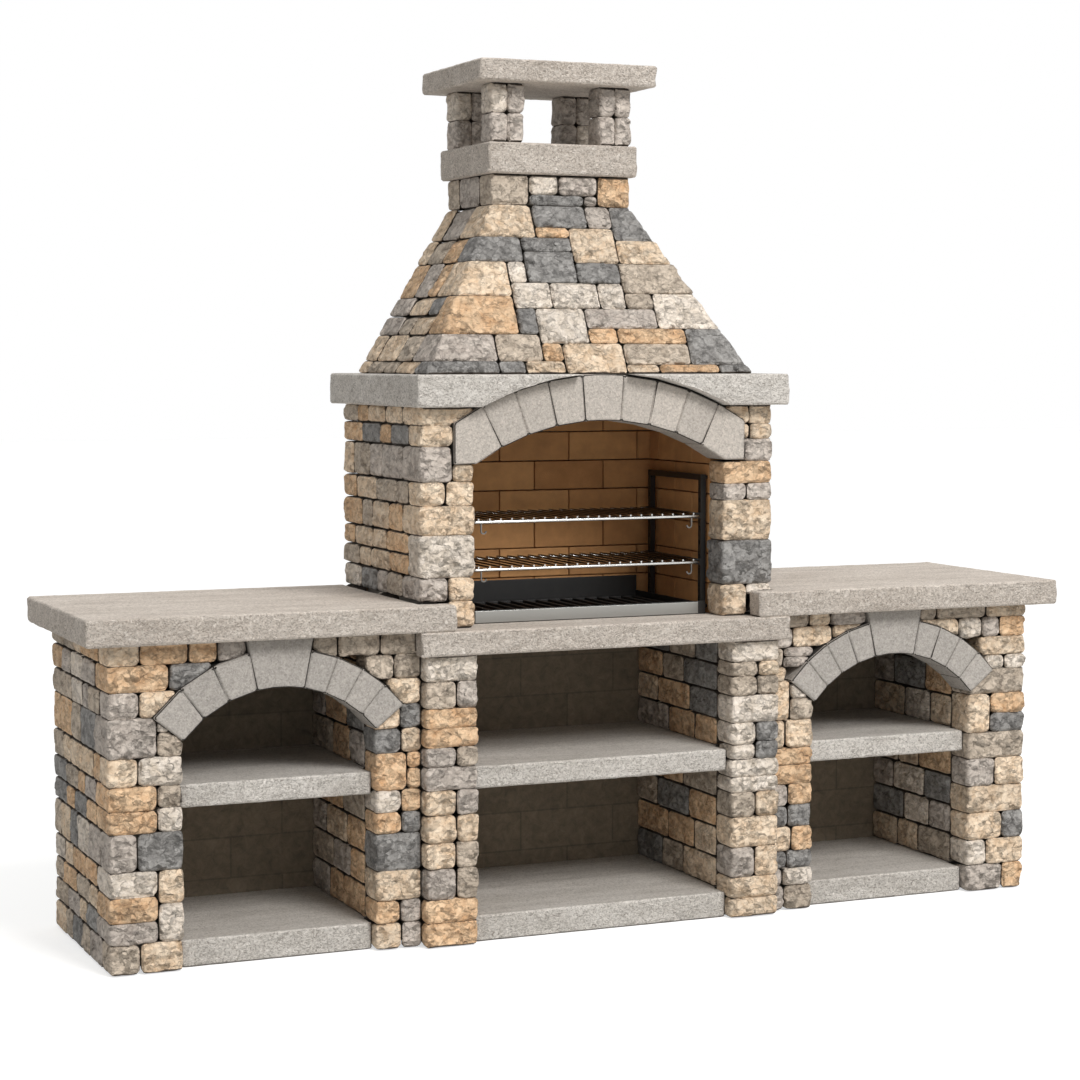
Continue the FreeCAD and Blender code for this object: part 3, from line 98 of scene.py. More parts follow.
# Hammered granite: a dull ground, streaked along the saw cut, with small dark and pale crystals.
# Where it was struck it has curled scars about 14 mm long, with painted shade in their pits and a painted
# highlight on their ridges.
# Real crystals are 2 to 3 mm, drawn at 4.5 mm so that they still show in the picture.
def hammered_granite(name, deep, pale_tone, top_shade):
    """Makes the granite of some slabs, from the two colours of its ground and the painted shade on its
    tops.
    """
    material, tree, shader, place = new_finish(name)
    stone = add_node(tree, "ShaderNodeAttribute", {"attribute_name": "stone"}).outputs["Fac"]
    bare = add_node(tree, "ShaderNodeAttribute", {"attribute_name": "bare"}).outputs["Fac"]
    sawn = add_node(tree, "ShaderNodeMapping", {}, {
        "Vector": place, "Scale": (1 / 0.30, 1 / 0.06, 1 / 0.09)})
    drift = add_node(tree, "ShaderNodeTexNoise", {"noise_dimensions": "4D"}, {
        "Vector": sawn.outputs["Vector"], "W": stone, "Scale": 1.0, "Detail": 7.0, "Roughness": 0.7})
    cloud = add_node(tree, "ShaderNodeMapRange", {}, {
        "Value": drift.outputs["Fac"], "From Min": 0.3, "From Max": 0.7})
    ground = add_node(tree, "ShaderNodeMix", COLOURS, {
        "Factor": result(cloud), "A": linear(deep), "B": linear(pale_tone)})
    crystals = add_node(tree, "ShaderNodeTexVoronoi", {}, {"Vector": place, "Scale": 1 / 0.0045})
    dark = add_node(tree, "ShaderNodeMapRange", {}, {
        "Value": crystals.outputs["Color"], "From Min": 0.60, "From Max": 0.80, "To Max": 0.35})
    specked = add_node(tree, "ShaderNodeMix", COLOURS, {
        "Factor": result(dark), "A": result(ground), "B": linear("7A7066")})
    pale = add_node(tree, "ShaderNodeMapRange", {}, {
        "Value": crystals.outputs["Color"], "From Min": 0.36, "From Max": 0.18, "To Max": 0.35})
    flecked = add_node(tree, "ShaderNodeMix", COLOURS, {
        "Factor": result(pale), "A": result(specked), "B": linear("E2DAD0")})
    turn = add_node(tree, "ShaderNodeNewGeometry").outputs["Normal"]
    upright = add_node(tree, "ShaderNodeSeparateXYZ", {}, [turn])
    level = add_node(tree, "ShaderNodeMath", {"operation": "ABSOLUTE"}, [upright.outputs["Z"]])
    struck = add_node(tree, "ShaderNodeMapRange", {}, {
        "Value": result(level), "From Min": 0.9, "From Max": 0.5, "To Min": 0.45, "To Max": 1.0})
    along = add_node(tree, "ShaderNodeMapping", {}, {
        "Vector": place, "Rotation": (0.0, 0.4, 0.0), "Scale": (1 / 0.016, 1 / 0.014, 1 / 0.010)})
    scars = add_node(tree, "ShaderNodeTexNoise", {}, {
        "Vector": along.outputs["Vector"], "Scale": 1.0, "Detail": 5.0, "Roughness": 0.7,
        "Distortion": 2.6})
    # Painted shade in the pits of the scars.
    pit_shade = add_node(tree, "ShaderNodeMapRange", {}, {
        "Value": scars.outputs["Fac"], "From Min": 0.49, "From Max": 0.37, "To Max": 0.65})
    pitted = add_node(tree, "ShaderNodeMath", {"operation": "MULTIPLY"}, [result(pit_shade), result(struck)])
    scarred = add_node(tree, "ShaderNodeMix", COLOURS, {
        "Factor": result(pitted), "A": result(flecked), "B": linear("6E6459")})
    # A painted highlight on the ridges of the scars.
    ridge_highlight = add_node(tree, "ShaderNodeMapRange", {}, {
        "Value": scars.outputs["Fac"], "From Min": 0.54, "From Max": 0.66, "To Max": 0.6})
    raised = add_node(tree, "ShaderNodeMath", {"operation": "MULTIPLY"}, [result(ridge_highlight), result(struck)])
    ridged = add_node(tree, "ShaderNodeMix", COLOURS, {
        "Factor": result(raised), "A": result(scarred), "B": linear("F0E9E0")})
    # Painted shade darkens the level faces.
    top_shade_share = add_node(tree, "ShaderNodeMapRange", {}, {
        "Value": upright.outputs["Z"], "From Min": 0.7, "From Max": 0.95, "To Max": top_shade})
    top_shaded = add_node(tree, "ShaderNodeMix", COLOURS, {
        "Factor": result(top_shade_share), "A": result(ridged), "B": linear("5C544B")})
    # Painted shade on the faces that a joint closes.
    joint_shade = add_node(tree, "ShaderNodeMapRange", {}, {"Value": bare, "From Max": 0.3})
    joint_shaded = add_node(tree, "ShaderNodeMix", COLOURS, {
        "Factor": result(joint_shade), "A": linear("4A433B"), "B": result(top_shaded)})
    depth = add_node(tree, "ShaderNodeMath", {"operation": "MULTIPLY"}, [
        scars.outputs["Fac"], result(struck)])
    bump = add_node(tree, "ShaderNodeBump", {}, {
        "Strength": 1.0, "Distance": 0.010, "Height": result(depth)})
    connect(tree, shader, {
        "Base Color": result(joint_shaded), "Normal": result(bump), "Roughness": 0.85, "IOR": 1.54})
    return material


grey_granite = hammered_granite("hammered_grey_granite", "C2BBB2", "EAE4DC", 0.3)
warm_granite = hammered_granite("hammered_warm_granite", "B9AC9F", "DED3C7", 0.0)

# What is taken from a random colour so that it leans either way.
MID_COLOUR = (0.5, 0.5, 0.5)


def rock_face_tree():
    """Builds the tree that tumbles the edges of cut stone and splits its open faces."""
    tree = bpy.data.node_groups.new("rock_face", "GeometryNodeTree")
    sockets = [("Geometry", "NodeSocketGeometry"), ("Tumbling", "NodeSocketInt")]
    sizes = ("Facet Size", "Facet Depth", "Grain Size", "Grain Depth", "Setting", "Wobble", "Swell")
    sockets += [(name, "NodeSocketFloat") for name in sizes] + [("Material", "NodeSocketMaterial")]
    for name, kind in sockets:
        tree.interface.new_socket(name, in_out="INPUT", socket_type=kind)
    tree.interface.new_socket("Geometry", in_out="OUTPUT", socket_type="NodeSocketGeometry")
    given = add_node(tree, "NodeGroupInput").outputs
    position = add_node(tree, "GeometryNodeInputPosition").outputs["Position"]
    carried = {"pull": "FLOAT_VECTOR", "press": "FLOAT_VECTOR", "stone": "FLOAT"}
    pull, press, stone = [
        result(add_node(tree, "GeometryNodeInputNamedAttribute", {"data_type": kind}, {"Name": name}))
        for name, kind in carried.items()]
    worn = add_node(tree, "GeometryNodeBlurAttribute", {"data_type": "FLOAT_VECTOR"}, {
        "Value": position, "Iterations": given["Tumbling"]})
    tumbled = add_node(tree, "GeometryNodeSetPosition", {}, {
        "Geometry": given["Geometry"], "Position": result(worn)})
    facet_scale = add_node(tree, "ShaderNodeMath", {"operation": "DIVIDE"}, [1.0, given["Facet Size"]])
    facets = add_node(tree, "ShaderNodeTexVoronoi", {"voronoi_dimensions": "4D"}, {
        "Vector": position, "W": stone, "Scale": result(facet_scale)})
    reach = add_node(tree, "ShaderNodeVectorMath", {"operation": "SUBTRACT"}, [
        position, facets.outputs["Position"]])
    lean = add_node(tree, "ShaderNodeVectorMath", {"operation": "SUBTRACT"}, [
        facets.outputs["Color"], MID_COLOUR])
    fall = add_node(tree, "ShaderNodeVectorMath", {"operation": "DOT_PRODUCT"}, [
        result(reach), result(lean)])
    slope = add_node(tree, "ShaderNodeMath", {"operation": "MULTIPLY"}, [
        fall.outputs["Value"], result(facet_scale)])
    facet = add_node(tree, "ShaderNodeMapRange", {}, {
        "Value": result(slope), "From Min": -0.3, "From Max": 0.3, "To Min": -1.0})
    facet_depth = add_node(tree, "ShaderNodeMath", {"operation": "MULTIPLY"}, [
        result(facet), given["Facet Depth"]])
    grain_scale = add_node(tree, "ShaderNodeMath", {"operation": "DIVIDE"}, [1.0, given["Grain Size"]])
    grain = add_node(tree, "ShaderNodeTexNoise", {"noise_dimensions": "4D"}, {
        "Vector": position, "W": stone, "Scale": result(grain_scale), "Detail": 4.0, "Roughness": 0.6})
    rough = add_node(tree, "ShaderNodeMapRange", {}, {
        "Value": grain.outputs["Fac"], "From Min": 0.25, "From Max": 0.75, "To Min": -1.0})
    carved = add_node(tree, "ShaderNodeMath", {"operation": "MULTIPLY_ADD"}, [
        result(rough), given["Grain Depth"], result(facet_depth)])
    draw = add_node(tree, "ShaderNodeTexWhiteNoise", {"noise_dimensions": "1D"}, {"W": stone})
    stand = add_node(tree, "ShaderNodeMapRange", {}, {"Value": draw.outputs["Value"], "To Min": -1.0})
    relief = add_node(tree, "ShaderNodeMath", {"operation": "MULTIPLY_ADD"}, [
        result(stand), given["Setting"], result(carved)])
    proud = add_node(tree, "ShaderNodeVectorMath", {"operation": "SCALE"}, {
        "Vector": pull, "Scale": result(relief)})
    sway = add_node(tree, "ShaderNodeTexNoise", {"noise_dimensions": "4D"}, {
        "Vector": position, "W": stone, "Scale": 1 / 0.06, "Detail": 2.0})
    swing = add_node(tree, "ShaderNodeVectorMath", {"operation": "SUBTRACT"}, [
        sway.outputs["Color"], MID_COLOUR])
    drawn = add_node(tree, "ShaderNodeVectorMath", {"operation": "SCALE"}, {
        "Vector": result(swing), "Scale": given["Wobble"]})
    filled = add_node(tree, "ShaderNodeVectorMath", {"operation": "SCALE"}, {
        "Vector": press, "Scale": given["Swell"]})
    shift = add_node(tree, "ShaderNodeVectorMath", {"operation": "ADD"}, [result(proud), result(drawn)])
    offset = add_node(tree, "ShaderNodeVectorMath", {"operation": "ADD"}, [result(shift), result(filled)])
    split = add_node(tree, "GeometryNodeSetPosition", {}, {
        "Geometry": tumbled.outputs["Geometry"], "Offset": result(offset)})
    whole = add_node(tree, "GeometryNodeRealizeInstances", {}, {"Geometry": split.outputs["Geometry"]})
    dressed = add_node(tree, "GeometryNodeSetMaterial", {}, {
        "Geometry": whole.outputs["Geometry"], "Material": given["Material"]})
    add_node(tree, "NodeGroupOutput", {}, {"Geometry": dressed.outputs["Geometry"]})
    return tree


rock_face = rock_face_tree()
SHADED_SHARP = math.radians(50)


def made_by(tree, name, mesh, settings):
    """Runs a mesh through a tree with the named inputs, and returns the plain result as an object."""
    source = bpy.data.objects.new(name, mesh)
    bpy.context.scene.collection.objects.link(source)
    modifier = source.modifiers.new("make", "NODES")
    modifier.node_group = tree
    for entry in tree.interface.items_tree:
        if entry.in_out == "INPUT" and entry.name in settings:
            modifier[entry.identifier] = settings[entry.name]
    source.update_tag()
    evaluated = source.evaluated_get(bpy.context.evaluated_depsgraph_get())
    plain = bpy.data.meshes.new_from_object(evaluated)
    source.modifiers.remove(modifier)
    plain.set_sharp_from_angle(angle=SHADED_SHARP)
    source.data = plain
    plain.name = name
    return source


def solids_of(node):
    """Returns the closed solids of a CAD node in their order, each as a list of triangles."""
    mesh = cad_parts[node].data
    solids = []
    triangles = []
    open_edges = set()
    for polygon in mesh.polygons:
        points = [mesh.vertices[index].co for index in polygon.vertices]
        corners = [tuple(round(value, 5) for value in point) for point in points]
        triangles.append(corners)
        for start, end in zip(corners, corners[1:] + corners[:1]):
            if (end, start) in open_edges:
                open_edges.remove((end, start))
            else:
                open_edges.add((start, end))
        if not open_edges:
            solids.append(triangles)
            triangles = []
    return solids


FLAT = math.radians(1)


def whole_faces(triangles):
    """Joins a solid's triangles at their corners, and merges those that lie in one plane."""
    solid = bmesh.new()
    corners = {}
    for triangle in triangles:
        for corner in triangle:
            if corner not in corners:
                corners[corner] = solid.verts.new(corner)
        solid.faces.new([corners[corner] for corner in triangle])
    bmesh.ops.dissolve_limit(solid, angle_limit=FLAT, verts=solid.verts, edges=solid.edges)
    solid.normal_update()
    return solid


# All the solids and the ground under them, to tell which faces are open to the air.
GROUND = ((-5, -5, 0), (5, -5, 0), (5, 5, 0), (-5, 5, 0))
everything = [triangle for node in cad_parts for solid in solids_of(node) for triangle in solid]
everything += [(GROUND[0], GROUND[1], GROUND[2]), (GROUND[0], GROUND[2], GROUND[3])]
surroundings = BVHTree.FromPolygons(
    [corner for triangle in everything for corner in triangle],
    [(first, first + 1, first + 2) for first in range(0, 3 * len(everything), 3)])


def stands_open(face, room, lift=0.0003, spread=0.0):
    """Says whether a face has air of some depth before its middle, or before a point spread to a corner."""
    middle = face.calc_center_median()
    points = [middle] + [middle.lerp(vert.co, spread) for vert in face.verts if spread]
    for point in points:
        hit, normal, _, distance = surroundings.ray_cast(point + face.normal * lift, face.normal)
        if hit is None or (distance > room and normal.dot(face.normal) < 0):
            return True
    return False


WIDE_GAP = 0.03
SQUARE_ON = 0.8
SIDE_CUTS = (0.8, 1.8, 3.2)
SIDE_DEPTH = 0.6
CUT_MERGE = 0.0002


def cut_into_cells(solid, step, margins):
    """Slices a solid into cells of about the given size where it is open, finer ones at the margins."""
    low = [min(vert.co[axis] for vert in solid.verts) for axis in range(3)]
    high = [max(vert.co[axis] for vert in solid.verts) for axis in range(3)]
    open_ends = set()
    for face in solid.faces:
        axis = max(range(3), key=lambda number: abs(face.normal[number]))
        if abs(face.normal[axis]) > SQUARE_ON and stands_open(face, WIDE_GAP):
            open_ends.add((axis, face.normal[axis] > 0))
    for axis in range(3):
        size = high[axis] - low[axis]
        if any(other != axis for other, end in open_ends):
            count = max(2, round(size / step))
            places = [low[axis] + size * number / count for number in range(1, count)]
            places += [low[axis] + margin for margin in margins]
            places += [high[axis] - margin for margin in margins]
        else:
            depths = [depth * step for depth in SIDE_CUTS if depth * step < SIDE_DEPTH * size]
            places = [low[axis] + depth for depth in depths if (axis, False) in open_ends]
            places += [high[axis] - depth for depth in depths if (axis, True) in open_ends]
        across = Vector([float(number == axis) for number in range(3)])
        for place in places:
            bmesh.ops.bisect_plane(
                solid, geom=solid.verts[:] + solid.edges[:] + solid.faces[:],
                plane_co=across * place, plane_no=across, dist=CUT_MERGE)


def outward(faces):
    """Adds up the normals of some faces, each as long as the face is large."""
    return sum((face.normal * face.calc_area() for face in faces), Vector())


JOINT_GAP = 0.012
FINE_RINGS = 2


def lay(node, material, step, margins, relief, level_share=1.0, tones=None, first=0):
    """Makes the stones of a CAD node with tumbled edges and rough open faces, in the node's place."""
    points = []
    faces = []
    pulls = []
    presses = []
    bares = []
    seeds = []
    colours = []
    for number, triangles in enumerate(solids_of(node)):
        solid = whole_faces(triangles)
        cut_into_cells(solid, step, margins)
        solid.normal_update()
        for face in solid.faces:
            face.tag = stands_open(face, JOINT_GAP)
        near = {vert for face in solid.faces if face.tag for vert in face.verts}
        for ring in range(FINE_RINGS):
            near |= {edge.other_vert(vert) for vert in list(near) for edge in vert.link_edges}
        deep = [vert for vert in solid.verts if vert not in near]
        inner = [edge for edge in solid.edges if edge.verts[0] not in near and edge.verts[1] not in near]
        bmesh.ops.dissolve_limit(solid, angle_limit=FLAT, verts=deep, edges=inner)
        start = len(points)
        for index, vert in enumerate(solid.verts):
            vert.index = index
            points.append(vert.co.copy())
            total = sum(face.calc_area() for face in vert.link_faces)
            open_area = sum(face.calc_area() for face in vert.link_faces if face.tag)
            lead = outward(face for face in vert.link_faces if face.tag)
            rest = outward(face for face in vert.link_faces if not face.tag)
            lead = lead * lead.length / total ** 2 if total else lead
            pulls.append((lead.x, lead.y, lead.z * level_share))
            presses.append(rest / total if total else rest)
            bares.append(open_area / total if total else 0.0)
            seeds.append(float(first + number))
            if tones:
                colours.append(tones[number])
        faces += [[start + vert.index for vert in face.verts] for face in solid.faces]
        solid.free()
    mesh = bpy.data.meshes.new(node + "_cut")
    mesh.from_pydata(points, [], faces)
    mesh.polygons.foreach_set("use_smooth", [True] * len(faces))
    for name, vectors in (("pull", pulls), ("press", presses)):
        values = [value for vector in vectors for value in vector]
        mesh.attributes.new(name, "FLOAT_VECTOR", "POINT").data.foreach_set("vector", values)
    for name, values in (("bare", bares), ("stone", seeds)):
        mesh.attributes.new(name, "FLOAT", "POINT").data.foreach_set("value", values)
    for entry, name in enumerate(("tone", "vein") if tones else ()):
        values = [value for pair in colours for value in pair[entry]]
        mesh.attributes.new(name, "FLOAT_COLOR", "POINT").data.foreach_set("color", values)
    piece = made_by(rock_face, "dressed_" + node, mesh, dict(relief, Material=material))
    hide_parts(node)
    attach(piece, "masonry")


SLAB_CELL = 0.015
SLAB_MARGINS = (0.006, 0.010)
PITCHED = {
    "Tumbling": 1, "Facet Size": 0.035, "Facet Depth": 0.0025, "Grain Size": 0.02, "Grain Depth": 0.002,
    "Setting": 0.0, "Wobble": 0.002, "Swell": 0.0}
# How rough the sawn tops and undersides are, beside the pitched edges.
SAWN_SHARE = 0.15


def lay_slab(node, material, first, relief=PITCHED, level_share=SAWN_SHARE):
    """Makes a granite slab with hammered edges, in a CAD node's place."""
    lay(node, material, SLAB_CELL, SLAB_MARGINS, relief, level_share, first=first)


for number, unit in enumerate(("left", "centre", "right")):
    lay_slab(f"{unit}_plinth_slab", grey_granite, 10 * number)

# Pier cores
# Columns of cast concrete behind the stones, which carry the slabs.
# Only their backs are seen, because the stones are laid against the other sides.

# Concrete cast in boards: a dull grey, blotched over about 90 mm, with small air holes drawn as spots of
# painted shade.
concrete, tree, shader, place = new_finish("cast_concrete")
blotches = add_node(tree, "ShaderNodeTexNoise", {}, {
    "Vector": place, "Scale": 1 / 0.09, "Detail": 6.0, "Roughness": 0.65})
grey = add_node(tree, "ShaderNodeMix", COLOURS, {
    "Factor": blotches.outputs["Fac"], "A": linear("776F66"), "B": linear("A39A8E")})
holes = add_node(tree, "ShaderNodeTexVoronoi", {}, {"Vector": place, "Scale": 1 / 0.014})
# Painted shade in the air holes.
hole_shade = add_node(tree, "ShaderNodeMapRange", {}, {
    "Value": holes.outputs["Distance"], "From Min": 0.10, "From Max": 0.22, "To Min": 0.7, "To Max": 1.0})
holed = add_node(tree, "ShaderNodeMix", SHADING, {
    "Factor": 1.0, "A": result(grey), "B": result(hole_shade)})
bump = add_node(tree, "ShaderNodeBump", {}, {
    "Strength": 0.5, "Distance": 0.003, "Height": blotches.outputs["Fac"]})
connect(tree, shader, {"Base Color": result(holed), "Normal": result(bump), "Roughness": 0.9})


def finish_node(node, material):
    """Gives a CAD node that keeps its shape its finish."""
    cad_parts[node].material_slots[0].material = material


for unit in ("left_outer", "left_inner", "centre_left", "centre_right", "right_inner", "right_outer"):
    finish_node(f"{unit}_pier_core", concrete)

# Pier stones
# Split blocks of limestone, sandstone and slate, laid in courses and bonded round the corners.
# They were split with a hammer and tumbled, so each has a rough face and worn edges.

# Split stone: each block keeps its own ground colour, with blotches of a second one and chipped facets.
# Chips that lean up carry painted light, those that lean down carry painted shade, and the edges of the
# open faces carry a painted highlight.
# Blotches are about 45 mm, chips 14 and 34 mm long and lower than that, as the stone splits along its beds.
# It breaks in ledges 3 mm high too, with a painted shadow under each, and the grain is drawn at 7 mm, about
# twice the real sand.
CHIPS = ((0.034, 1.0), (0.014, 1.1))
ALONG_BEDS = (1.0, 1.0, 1.5)
WARP = (0.024, 0.024, 0.024)
# The way a chip leans towards the painted light.
PAINTED_LIGHT_LEAN = (-0.3, 0.2, -0.9)
HOLLOW_STAIN = -8.0
LEDGES = 6.0
LEDGE_HEIGHT = 0.003
SAND_HEIGHT = 0.004
split_stone, tree, shader, place = new_finish("split_stone")
stone = add_node(tree, "ShaderNodeAttribute", {"attribute_name": "stone"}).outputs["Fac"]
bare = add_node(tree, "ShaderNodeAttribute", {"attribute_name": "bare"}).outputs["Fac"]
tone = add_node(tree, "ShaderNodeAttribute", {"attribute_name": "tone"}).outputs["Color"]
vein = add_node(tree, "ShaderNodeAttribute", {"attribute_name": "vein"}).outputs["Color"]
warp = add_node(tree, "ShaderNodeTexNoise", {"noise_dimensions": "4D"}, {
    "Vector": place, "W": stone, "Scale": 1 / 0.022, "Detail": 4.0})
bent = add_node(tree, "ShaderNodeVectorMath", {"operation": "MULTIPLY_ADD"}, [
    warp.outputs["Color"], WARP, place])
bedded = add_node(tree, "ShaderNodeVectorMath", {"operation": "MULTIPLY"}, [result(bent), ALONG_BEDS])
falls = []
painted_light_turns = []
for size, depth in CHIPS:
    facets = add_node(tree, "ShaderNodeTexVoronoi", {"voronoi_dimensions": "4D"}, {
        "Vector": result(bedded), "W": stone, "Scale": 1 / size})
    reach = add_node(tree, "ShaderNodeVectorMath", {"operation": "SUBTRACT"}, [
        result(bedded), facets.outputs["Position"]])
    lean = add_node(tree, "ShaderNodeVectorMath", {"operation": "SUBTRACT"}, [
        facets.outputs["Color"], MID_COLOUR])
    fall = add_node(tree, "ShaderNodeVectorMath", {"operation": "DOT_PRODUCT"}, [
        result(reach), result(lean)])
    falls.append(add_node(tree, "ShaderNodeMath", {"operation": "MULTIPLY"}, [
        fall.outputs["Value"], depth]))
    painted_light_turns.append(add_node(tree, "ShaderNodeVectorMath", {"operation": "DOT_PRODUCT"}, [
        result(lean), PAINTED_LIGHT_LEAN]))
chipped = add_node(tree, "ShaderNodeMath", {"operation": "ADD"}, [result(fall) for fall in falls])
painted_light_turn = add_node(tree, "ShaderNodeMath", {"operation": "ADD"}, [turn.outputs["Value"] for turn in painted_light_turns])
# Painted light and shade on each chip, by the way it leans.
painted_chip_shade = add_node(tree, "ShaderNodeMapRange", {}, {
    "Value": result(painted_light_turn), "From Min": -0.6, "From Max": 0.6, "To Min": 0.86, "To Max": 1.12})
blotches = add_node(tree, "ShaderNodeTexNoise", {"noise_dimensions": "4D"}, {
    "Vector": place, "W": stone, "Scale": 1 / 0.045, "Detail": 6.0, "Roughness": 0.65, "Distortion": 0.8})
stained = add_node(tree, "ShaderNodeMath", {"operation": "MULTIPLY_ADD"}, [
    result(chipped), HOLLOW_STAIN, blotches.outputs["Fac"]])
share = add_node(tree, "ShaderNodeMapRange", {}, {
    "Value": result(stained), "From Min": 0.38, "From Max": 0.78})
mottled = add_node(tree, "ShaderNodeMix", COLOURS, {
    "Factor": result(share), "A": tone, "B": vein})
sand = add_node(tree, "ShaderNodeTexNoise", {}, {
    "Vector": place, "Scale": 1 / 0.007, "Detail": 6.0, "Roughness": 0.75})
shade = add_node(tree, "ShaderNodeMapRange", {}, {
    "Value": sand.outputs["Fac"], "From Min": 0.3, "From Max": 0.7, "To Min": 0.88, "To Max": 1.12})
# A painted highlight along the edges of the open faces.
painted_arris_light = add_node(tree, "ShaderNodeMapRange", {}, {
    "Value": bare, "From Min": 0.5, "From Max": 0.95, "To Min": 1.15, "To Max": 1.0})
faced = add_node(tree, "ShaderNodeMath", {"operation": "MULTIPLY"}, [result(shade), result(painted_chip_shade)])
edged = add_node(tree, "ShaderNodeMath", {"operation": "MULTIPLY"}, [result(faced), result(painted_arris_light)])
beds = add_node(tree, "ShaderNodeTexNoise", {"noise_dimensions": "4D"}, {
    "Vector": result(bedded), "W": stone, "Scale": 1 / 0.06, "Detail": 5.0, "Roughness": 0.6})
count = add_node(tree, "ShaderNodeMath", {"operation": "MULTIPLY"}, [beds.outputs["Fac"], LEDGES])
tread = add_node(tree, "ShaderNodeMath", {"operation": "FLOOR"}, [result(count)])
part = add_node(tree, "ShaderNodeMath", {"operation": "FRACT"}, [result(count)])
riser = add_node(tree, "ShaderNodeMapRange", {}, {"Value": result(part), "From Min": 0.8})
ledge = add_node(tree, "ShaderNodeMath", {"operation": "ADD"}, [result(tread), result(riser)])
# A painted shadow under the riser of each ledge.
painted_ledge_shadow = add_node(tree, "ShaderNodeMapRange", {}, {
    "Value": result(part), "From Min": 0.65, "To Min": 1.0, "To Max": 0.68})
lit = add_node(tree, "ShaderNodeMath", {"operation": "MULTIPLY"}, [result(edged), result(painted_ledge_shadow)])
grained = add_node(tree, "ShaderNodeMix", SHADING, {
    "Factor": 1.0, "A": result(mottled), "B": result(lit)})
# Painted shade on the faces inside the joints.
joint_shade = add_node(tree, "ShaderNodeMapRange", {}, {"Value": bare, "From Max": 0.40})
jointed = add_node(tree, "ShaderNodeMix", COLOURS, {
    "Factor": result(joint_shade), "A": linear("483E35"), "B": result(grained)})
split = add_node(tree, "ShaderNodeMath", {"operation": "MULTIPLY_ADD"}, [
    result(ledge), LEDGE_HEIGHT, result(chipped)])
height = add_node(tree, "ShaderNodeMath", {"operation": "MULTIPLY_ADD"}, [
    sand.outputs["Fac"], SAND_HEIGHT, result(split)])
bump = add_node(tree, "ShaderNodeBump", {}, {"Strength": 1.0, "Distance": 1.0, "Height": result(height)})
connect(tree, shader, {
    "Base Color": result(jointed), "Normal": result(bump), "Roughness": 0.9, "IOR": 1.5})

# Ground colour and blotch of each kind.
# They are cream limestone, ochre sandstone, warm grey, light grey, slate and taupe.
KINDS = {
    "c": ("E3CFB6", "CBAB88"), "o": ("DFBF9B", "C2956A"), "g": ("C6BBB0", "A0948A"),
    "l": ("E4D8CA", "C8B9A6"), "s": ("9A9793", "65625F"), "t": ("C7B8A6", "9E8F7E")}
# What the sides are drawn from: the walls of the bays are warmer than the outer sides.
BAY_MIXTURE = "ctttoooogs"
SIDE_MIXTURE = "cccoogglsstttt"
DARKEST = 0.9
LIGHTEST = 1.08


def tones_for(node, kinds, seed):
    """Gives each stone of a node its two colours: the kinds read from the front, then a seeded mixture."""
    draw = random.Random(seed)
    low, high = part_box(node)
    pairs = []
    for number, triangles in enumerate(solids_of(node)):
        middle = sum(corner[0] for triangle in triangles for corner in triangle) / len(triangles) / 3
        in_bay = "pier" in node and not ("outer" in node and abs(middle) > abs(low.x + high.x) / 2)
        mixture = BAY_MIXTURE if in_bay else SIDE_MIXTURE
        kind = kinds[number] if number < len(kinds) else draw.choice(mixture)
        light = draw.uniform(DARKEST, LIGHTEST)
        pairs.append([[light * value for value in linear(code)[:3]] + [1.0] for code in KINDS[kind]])
    return pairs


SPLIT_CELL = 0.0075
SPLIT = {
    "Tumbling": 5, "Facet Size": 0.045, "Facet Depth": 0.003, "Grain Size": 0.025, "Grain Depth": 0.002,
    "Setting": 0.002, "Wobble": 0.004, "Swell": 0.0012}


def lay_split(node, kinds, seed, first):
    """Makes the split stones of a CAD node, each in its own kind, in the node's place."""
    tones = tones_for(node, kinds, seed)
    lay(node, split_stone, SPLIT_CELL, (), SPLIT, tones=tones, first=first)


# The kinds of the stones on each front, in the order in which they are laid.
PIERS = {
    "left_outer": "tcgollcgsooltclgtlgcoscoog",
    "left_inner": "cgogcsosloooosccscttttt",
    "centre_left": "oogtctcccgggtootgl",
    "centre_right": "ccgcctcllllssltttcl",
    "right_inner": "gtglsscosgsoooccctlctgggcctcg",
    "right_outer": "golccscgctcsotllcclgottc"}
for number, (unit, kinds) in enumerate(PIERS.items()):
    lay_split(f"{unit}_pier_stones", kinds, number, 200 * number)

# Shelf slabs
# Slabs of the same granite as the plinths, which rest in the piers half way up each unit.
# They are pitched along the front too.
for number, unit in enumerate(("left", "centre", "right")):
    lay_slab(f"{unit}_shelf_slab", grey_granite, 40 + 10 * number)

# Back panels
# Walls of large cast blocks that close the bays, with thin flush joints.
# They are built in between the piers, and their backs are left as they were cast.

# Cast block: a dull brown grey with a coarse grain, clouded over about 30 mm.
# Its blocks are 300 by 115 mm, and their joints are hardly darker than they are.
panel, tree, shader, place = new_finish("cast_block_panel")
turned = add_node(tree, "ShaderNodeMapping", {}, {
    "Vector": place, "Rotation": (math.radians(-90), 0.0, 0.0)})
blocks = add_node(tree, "ShaderNodeTexBrick", {}, {
    "Vector": turned.outputs["Vector"],
    "Color1": linear("8A7D6B"), "Color2": linear("827665"), "Mortar": linear("766B5C"),
    "Scale": 1.0, "Mortar Size": 0.003, "Brick Width": 0.30, "Row Height": 0.115, "Mortar Smooth": 0.4})
blotches = add_node(tree, "ShaderNodeTexNoise", {}, {
    "Vector": place, "Scale": 1 / 0.03, "Detail": 8.0, "Roughness": 0.8, "Distortion": 0.6})
cloud = add_node(tree, "ShaderNodeMapRange", {}, {
    "Value": blotches.outputs["Fac"], "From Min": 0.3, "From Max": 0.7, "To Min": 0.6, "To Max": 1.3})
clouded = add_node(tree, "ShaderNodeMix", SHADING, {
    "Factor": 1.0, "A": blocks.outputs["Color"], "B": result(cloud)})
